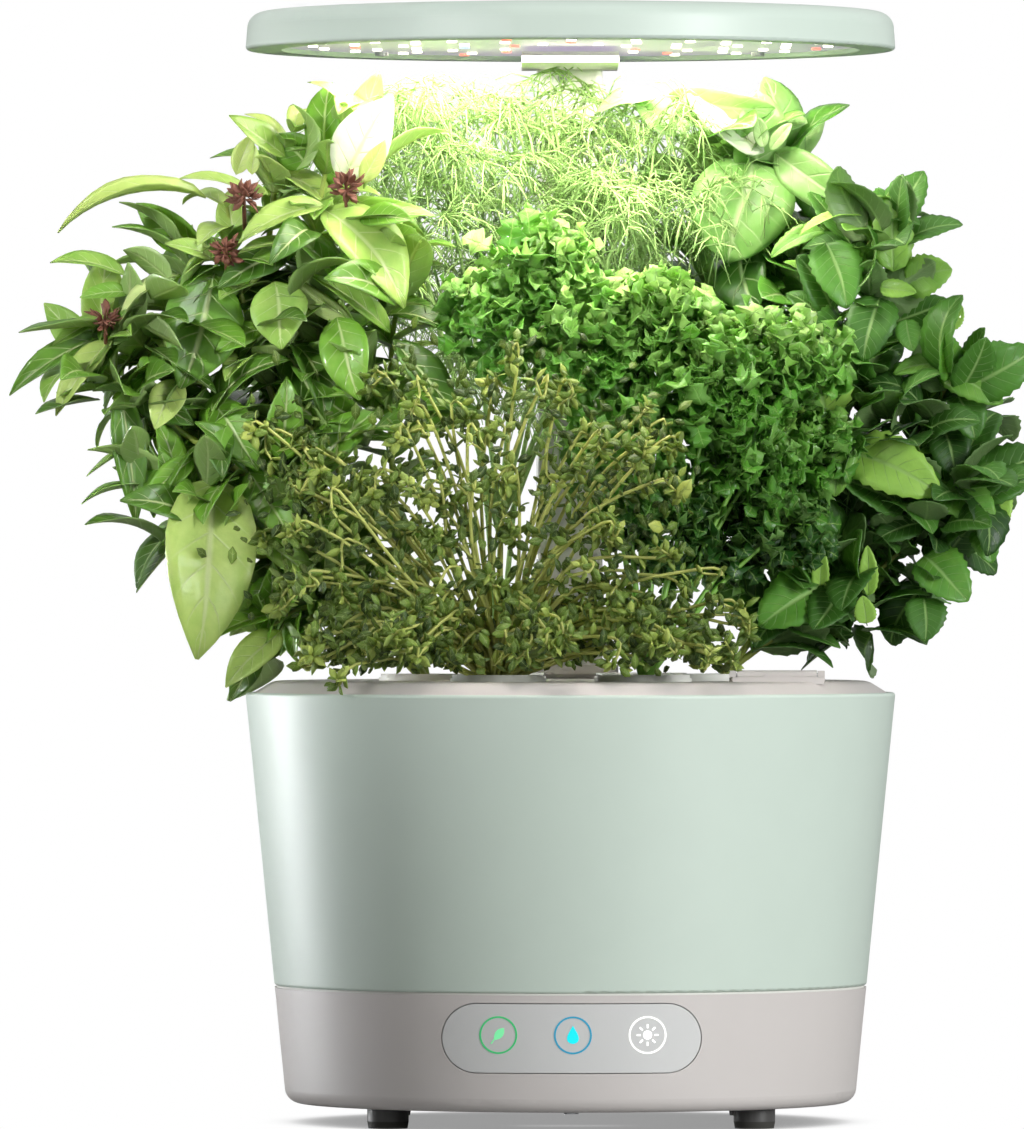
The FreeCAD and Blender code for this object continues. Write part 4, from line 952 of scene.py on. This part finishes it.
def makeParsley():
    dice = random.Random(6)
    plant = startPlant()
    pod = (31, -53.7, 189)
    fullness = 1.15  # times the leaflets of each clump
    curls = ["flat", "arched", "lifted", "drooping"]
    # the fourth number paints light on the upper clumps and shade on the lower ones
    clumps = [  # place, radius and number of leaflets, with more light on the upper ones
        ((44, -38, 254), 26, 140, -0.4), ((80, -34, 284), 30, 190, 0.05), ((62, -36, 318), 36, 300, 0.2),
        ((22, -30, 290), 28, 180, 0.05), ((8, -24, 334), 32, 260, 0.25), ((-30, -16, 346), 28, 180, 0.2),
        ((98, -32, 324), 24, 150, 0.25), ((94, -34, 258), 22, 110, -0.3), ((38, -30, 346), 24, 160, 0.35),
        ((66, -28, 250), 22, 100, -0.5), ((112, -20, 290), 18, 70, 0.1), ((-8, -20, 362), 22, 120, 0.35),
    ]
    for centre, radius, count, light in clumps:
        middle = [(a + b) / 2 for a, b in zip(pod, centre)]
        bow = (middle[0] * 0.9 + 6, middle[1], middle[2] + 6)
        putStem(plant, [pod, bow, centre], 1.5, 0.8, dice.uniform(0.3, 0.9))
        for _ in range(7):
            twig = drawn(dice.gauss, (0, 1), (0, 1), (0.5, 0.7)).normalized() * radius * 0.7
            putStem(plant, [centre, Vector(centre) + twig * 0.6, Vector(centre) + twig], 0.5, 0.35, 0.7, 2, 3)
        number = round(count * fullness)
        leafCloud(plant, "parsley", centre, radius, number, (7, 12), 0.85, dice, curls, light)
    flat = [((-30, -26, 372), 10), ((-14, -26, 378), 9), ((-2, -24, 372), 9), ((-18, -26, 362), 9)]
    for centre, radius in flat:
        putStem(plant, [(-12, -24, 342), centre], 0.6, 0.4, 0.8, 3, 3)
        leafCloud(plant, "parsley", centre, radius, 9, (10, 15), 0.8, dice, ["flat"], 0.2)
    finishPlant("parsley", plant, leafMaterial("parsley", 3, 0.4))


def makeThyme():
    dice = random.Random(5)
    plant = startPlant()
    pod = Vector((-31, -53.7, 189))
    sprays, leafMm = 156, (4.5, 8.0)
    fields = [((-34, -80, 226), 32), ((14, -84, 226), 30), ((4, -84, 268), 34), ((-40, -76, 284), 38),
              ((-88, -66, 268), 34), ((-88, -62, 226), 32), ((-64, -70, 306), 30), ((28, -80, 244), 28),
              ((-116, -52, 250), 28), ((30, -78, 284), 26), ((-10, -76, 312), 26), ((-118, -48, 292), 24),
              ((-60, -84, 206), 22), ((-8, -96, 208), 24), ((34, -88, 208), 20), ((-100, -64, 206), 18),
              ((56, -84, 214), 18), ((4, -60, 214), 18), ((-60, -106, 206), 18), ((-12, -120, 204), 16),
              ((30, -108, 206), 17), ((-98, -86, 206), 17), ((-80, -100, 202), 15), ((20, -120, 202), 14),
              ((56, -104, 204), 15), ((-38, -116, 202), 15)]
    for number in range(sprays):
        bare = number % 3 == 0
        centre, radius = fields[number % len(fields)]
        way = drawn(dice.gauss, (0, 1), (-0.2, 0.8), (0.2, 1)).normalized()
        end = Vector(centre) + way * radius * dice.uniform(0.3, 1.05)
        root = pod + Vector((dice.uniform(-4, 4), dice.uniform(-4, 4), 0))
        middle = root.lerp(end, 0.5) + drawn(dice.uniform, (-8, 8), (-8, 4), (6, 24))
        droop = end + Vector((way.x * 9, way.y * 5, -dice.uniform(0, 12)))
        tip = droop + Vector((-way.x * 4 + dice.uniform(-5, 5), -3, dice.uniform(-6, 8)))
        route = [root, middle, end, droop, tip]
        if not all(clearOfPieces(p) for p in smoothPath([p * mm for p in route], 4)[3:]):
            continue
        path = putStem(plant, route, 0.9, 0.5, dice.uniform(0.3, 1.1), 4, 4)
        turn = dice.uniform(0, 3)
        for i in range(4, len(path), 3 if bare else 1):
            step = path[i] - path[i - 1]
            side = step.cross(Vector((0.2, 1, 0.3))).normalized()
            turn += math.pi / 2
            for sign in (-1, 1):
                size = dice.uniform(*leafMm) * mm
                out = Matrix.Rotation(turn, 3, step.normalized()) @ side * sign + step.normalized() * 0.6
                leafTip = path[i] + out.normalized() * size
                facing = step.normalized() + Vector((0, -0.4, 0.6))
                toneAndLight = dice.uniform(0.1, 1.1) * (0.5 + 0.5 * i / len(path))
                putLeaf(plant, "thyme", "arched", path[i], leafTip, size * 0.55, facing, toneAndLight)
        # darker leaves filling each field: painted shade inside the dense clump
        for _ in range(12):
            start = Vector(centre) + drawn(dice.gauss, (0, 0.45), (0.1, 0.4), (0, 0.5)) * radius
            way = drawn(dice.gauss, (0, 1), (-0.3, 1), (0.2, 1)).normalized()
            size = dice.uniform(*leafMm)
            facing = Vector((dice.uniform(-1, 1), -1, dice.uniform(0, 1)))
            putLeaf(plant, "thyme", "arched", start * mm, (start + way * size) * mm, size * 0.55 * mm, facing,
                    dice.uniform(-0.3, 0.4))
    rows = {
        "over the rim": (588, 682, 590, 717, 17, -136, -149, 0, 0.7, "drooping"),
        "beside it": (570, 686, 556, 702, 13, -138, -147, 0, 0.5, "drooping"),
        "second": (604, 684, 622, 697, 13, -138, -146, 0, 0.6, "drooping"),
        "purple tip one": (664, 530, 648, 524, 14, -100, -104, 0, 1.0, "arched"),
        "purple tip two": (676, 500, 692, 480, 16, -98, -102, 0, 1.0, "flat"),
    }
    photoLeaves(plant, "thyme", rows)
    finishPlant("thyme", plant, leafMaterial("thyme", 2, 0.5))


def makeDill():
    dice = random.Random(3)
    plant = startPlant()
    stems = [
        [(-31, 53.7, 189), (-30, 58, 260), (-24, 64, 340), (-22, 64, 410), (-30, 62, 442)],
        [(-31, 53.7, 189), (-38, 60, 280), (-54, 66, 350), (-72, 66, 412)],
        [(-31, 53.7, 189), (-22, 60, 280), (-4, 64, 350), (16, 66, 412)],
        [(-30, 58, 250), (-10, 60, 300), (20, 58, 344), (40, 56, 380)],
        [(-30, 58, 250), (-46, 60, 310), (-70, 58, 362)],
        [(-30, 58, 260), (-14, 50, 330), (-4, 44, 400), (-8, 40, 440)],
        [(-30, 58, 260), (-40, 50, 330), (-50, 44, 390), (-52, 40, 432)],
        [(-30, 58, 260), (0, 50, 330), (30, 44, 390), (38, 42, 430)],
        [(-30, 58, 260), (-56, 40, 340), (-70, 34, 400), (-76, 30, 424)],
        [(-30, 58, 260), (10, 40, 340), (20, 34, 380), (54, 30, 396)],
    ]
    for places in stems:
        path = putStem(plant, places, 1.4, 0.5, 0.7)
        for at in range(6, len(path)):
            base = path[at]
            swing = dice.uniform(0, 2 * math.pi)
            for arm in range(2):
                angle = swing + math.pi * arm + dice.uniform(-0.5, 0.5)
                out = Vector((math.cos(angle), math.sin(angle) * 0.35, dice.uniform(0.0, 0.6))).normalized()
                length = dice.uniform(26, 50) * mm
                bow = base + out * length * 0.55 + Vector((0, 0, 6 * mm))
                low = base + out * length - Vector((0, 0, dice.uniform(4, 16) * mm))
                if not (clearOfPieces(low) and clearOfPieces(bow)):
                    continue
                frond = putStem(plant, [base / mm, bow / mm, low / mm], 0.45, 0.25, 0.8, 5, 3)
                for spot in frond[2:]:
                    for _ in range(5):
                        way = drawn(dice.gauss, (0, 1), (0, 0.6), (-0.3, 0.7)).normalized()
                        reach = dice.uniform(9, 19) * mm
                        end = spot + way * reach + Vector((0, 0, -5 * mm))
                        if clearOfPieces(end):
                            half = spot + way * reach * 0.55
                            toneAndLight = dice.uniform(0.2, 1.2)
                            putStem(plant, [spot / mm, half / mm, end / mm], 0.4, 0.24, toneAndLight, 1, 3)
    finishPlant("dill", plant, leafMaterial("dill", 1, 0.5))


makeLeftBasil()
makeBuds()
makeBroadBasil()
makeMint()
makeParsley()
makeThyme()
makeDill()
print("plants grown")


coil = {"turns": 6, "steps": 20, "wire": 1.2, "inset": 1.3}  # the wire's radius and its middle's inset in mm


# The spare coil of the lamp's lead in the foot of the sleeve, drawn as a fixed helix; the mast presses the
# real one flat
def makeSlack():
    low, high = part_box("lead_slack")
    middle = (low + high) / 2
    inset, wire, count = coil["inset"] * mm, coil["wire"] * mm, coil["turns"] * coil["steps"]
    radius = (high.x - low.x) / 2 - inset
    path = []
    for i in range(count + 1):
        angle = 2 * math.pi * i / coil["steps"]
        rise = low.z + inset + (high.z - low.z - 2 * inset) * i / count
        path.append(Vector((middle.x + radius * math.cos(angle), middle.y + radius * math.sin(angle), rise)))
    bm = bmesh.new()
    tube(bm, path, wire, wire, 8)
    piece = newPiece("lead_coil", bm, "root", finishes["lead_jacket"])
    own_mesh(piece)
    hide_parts("lead_slack")


makeSlack()
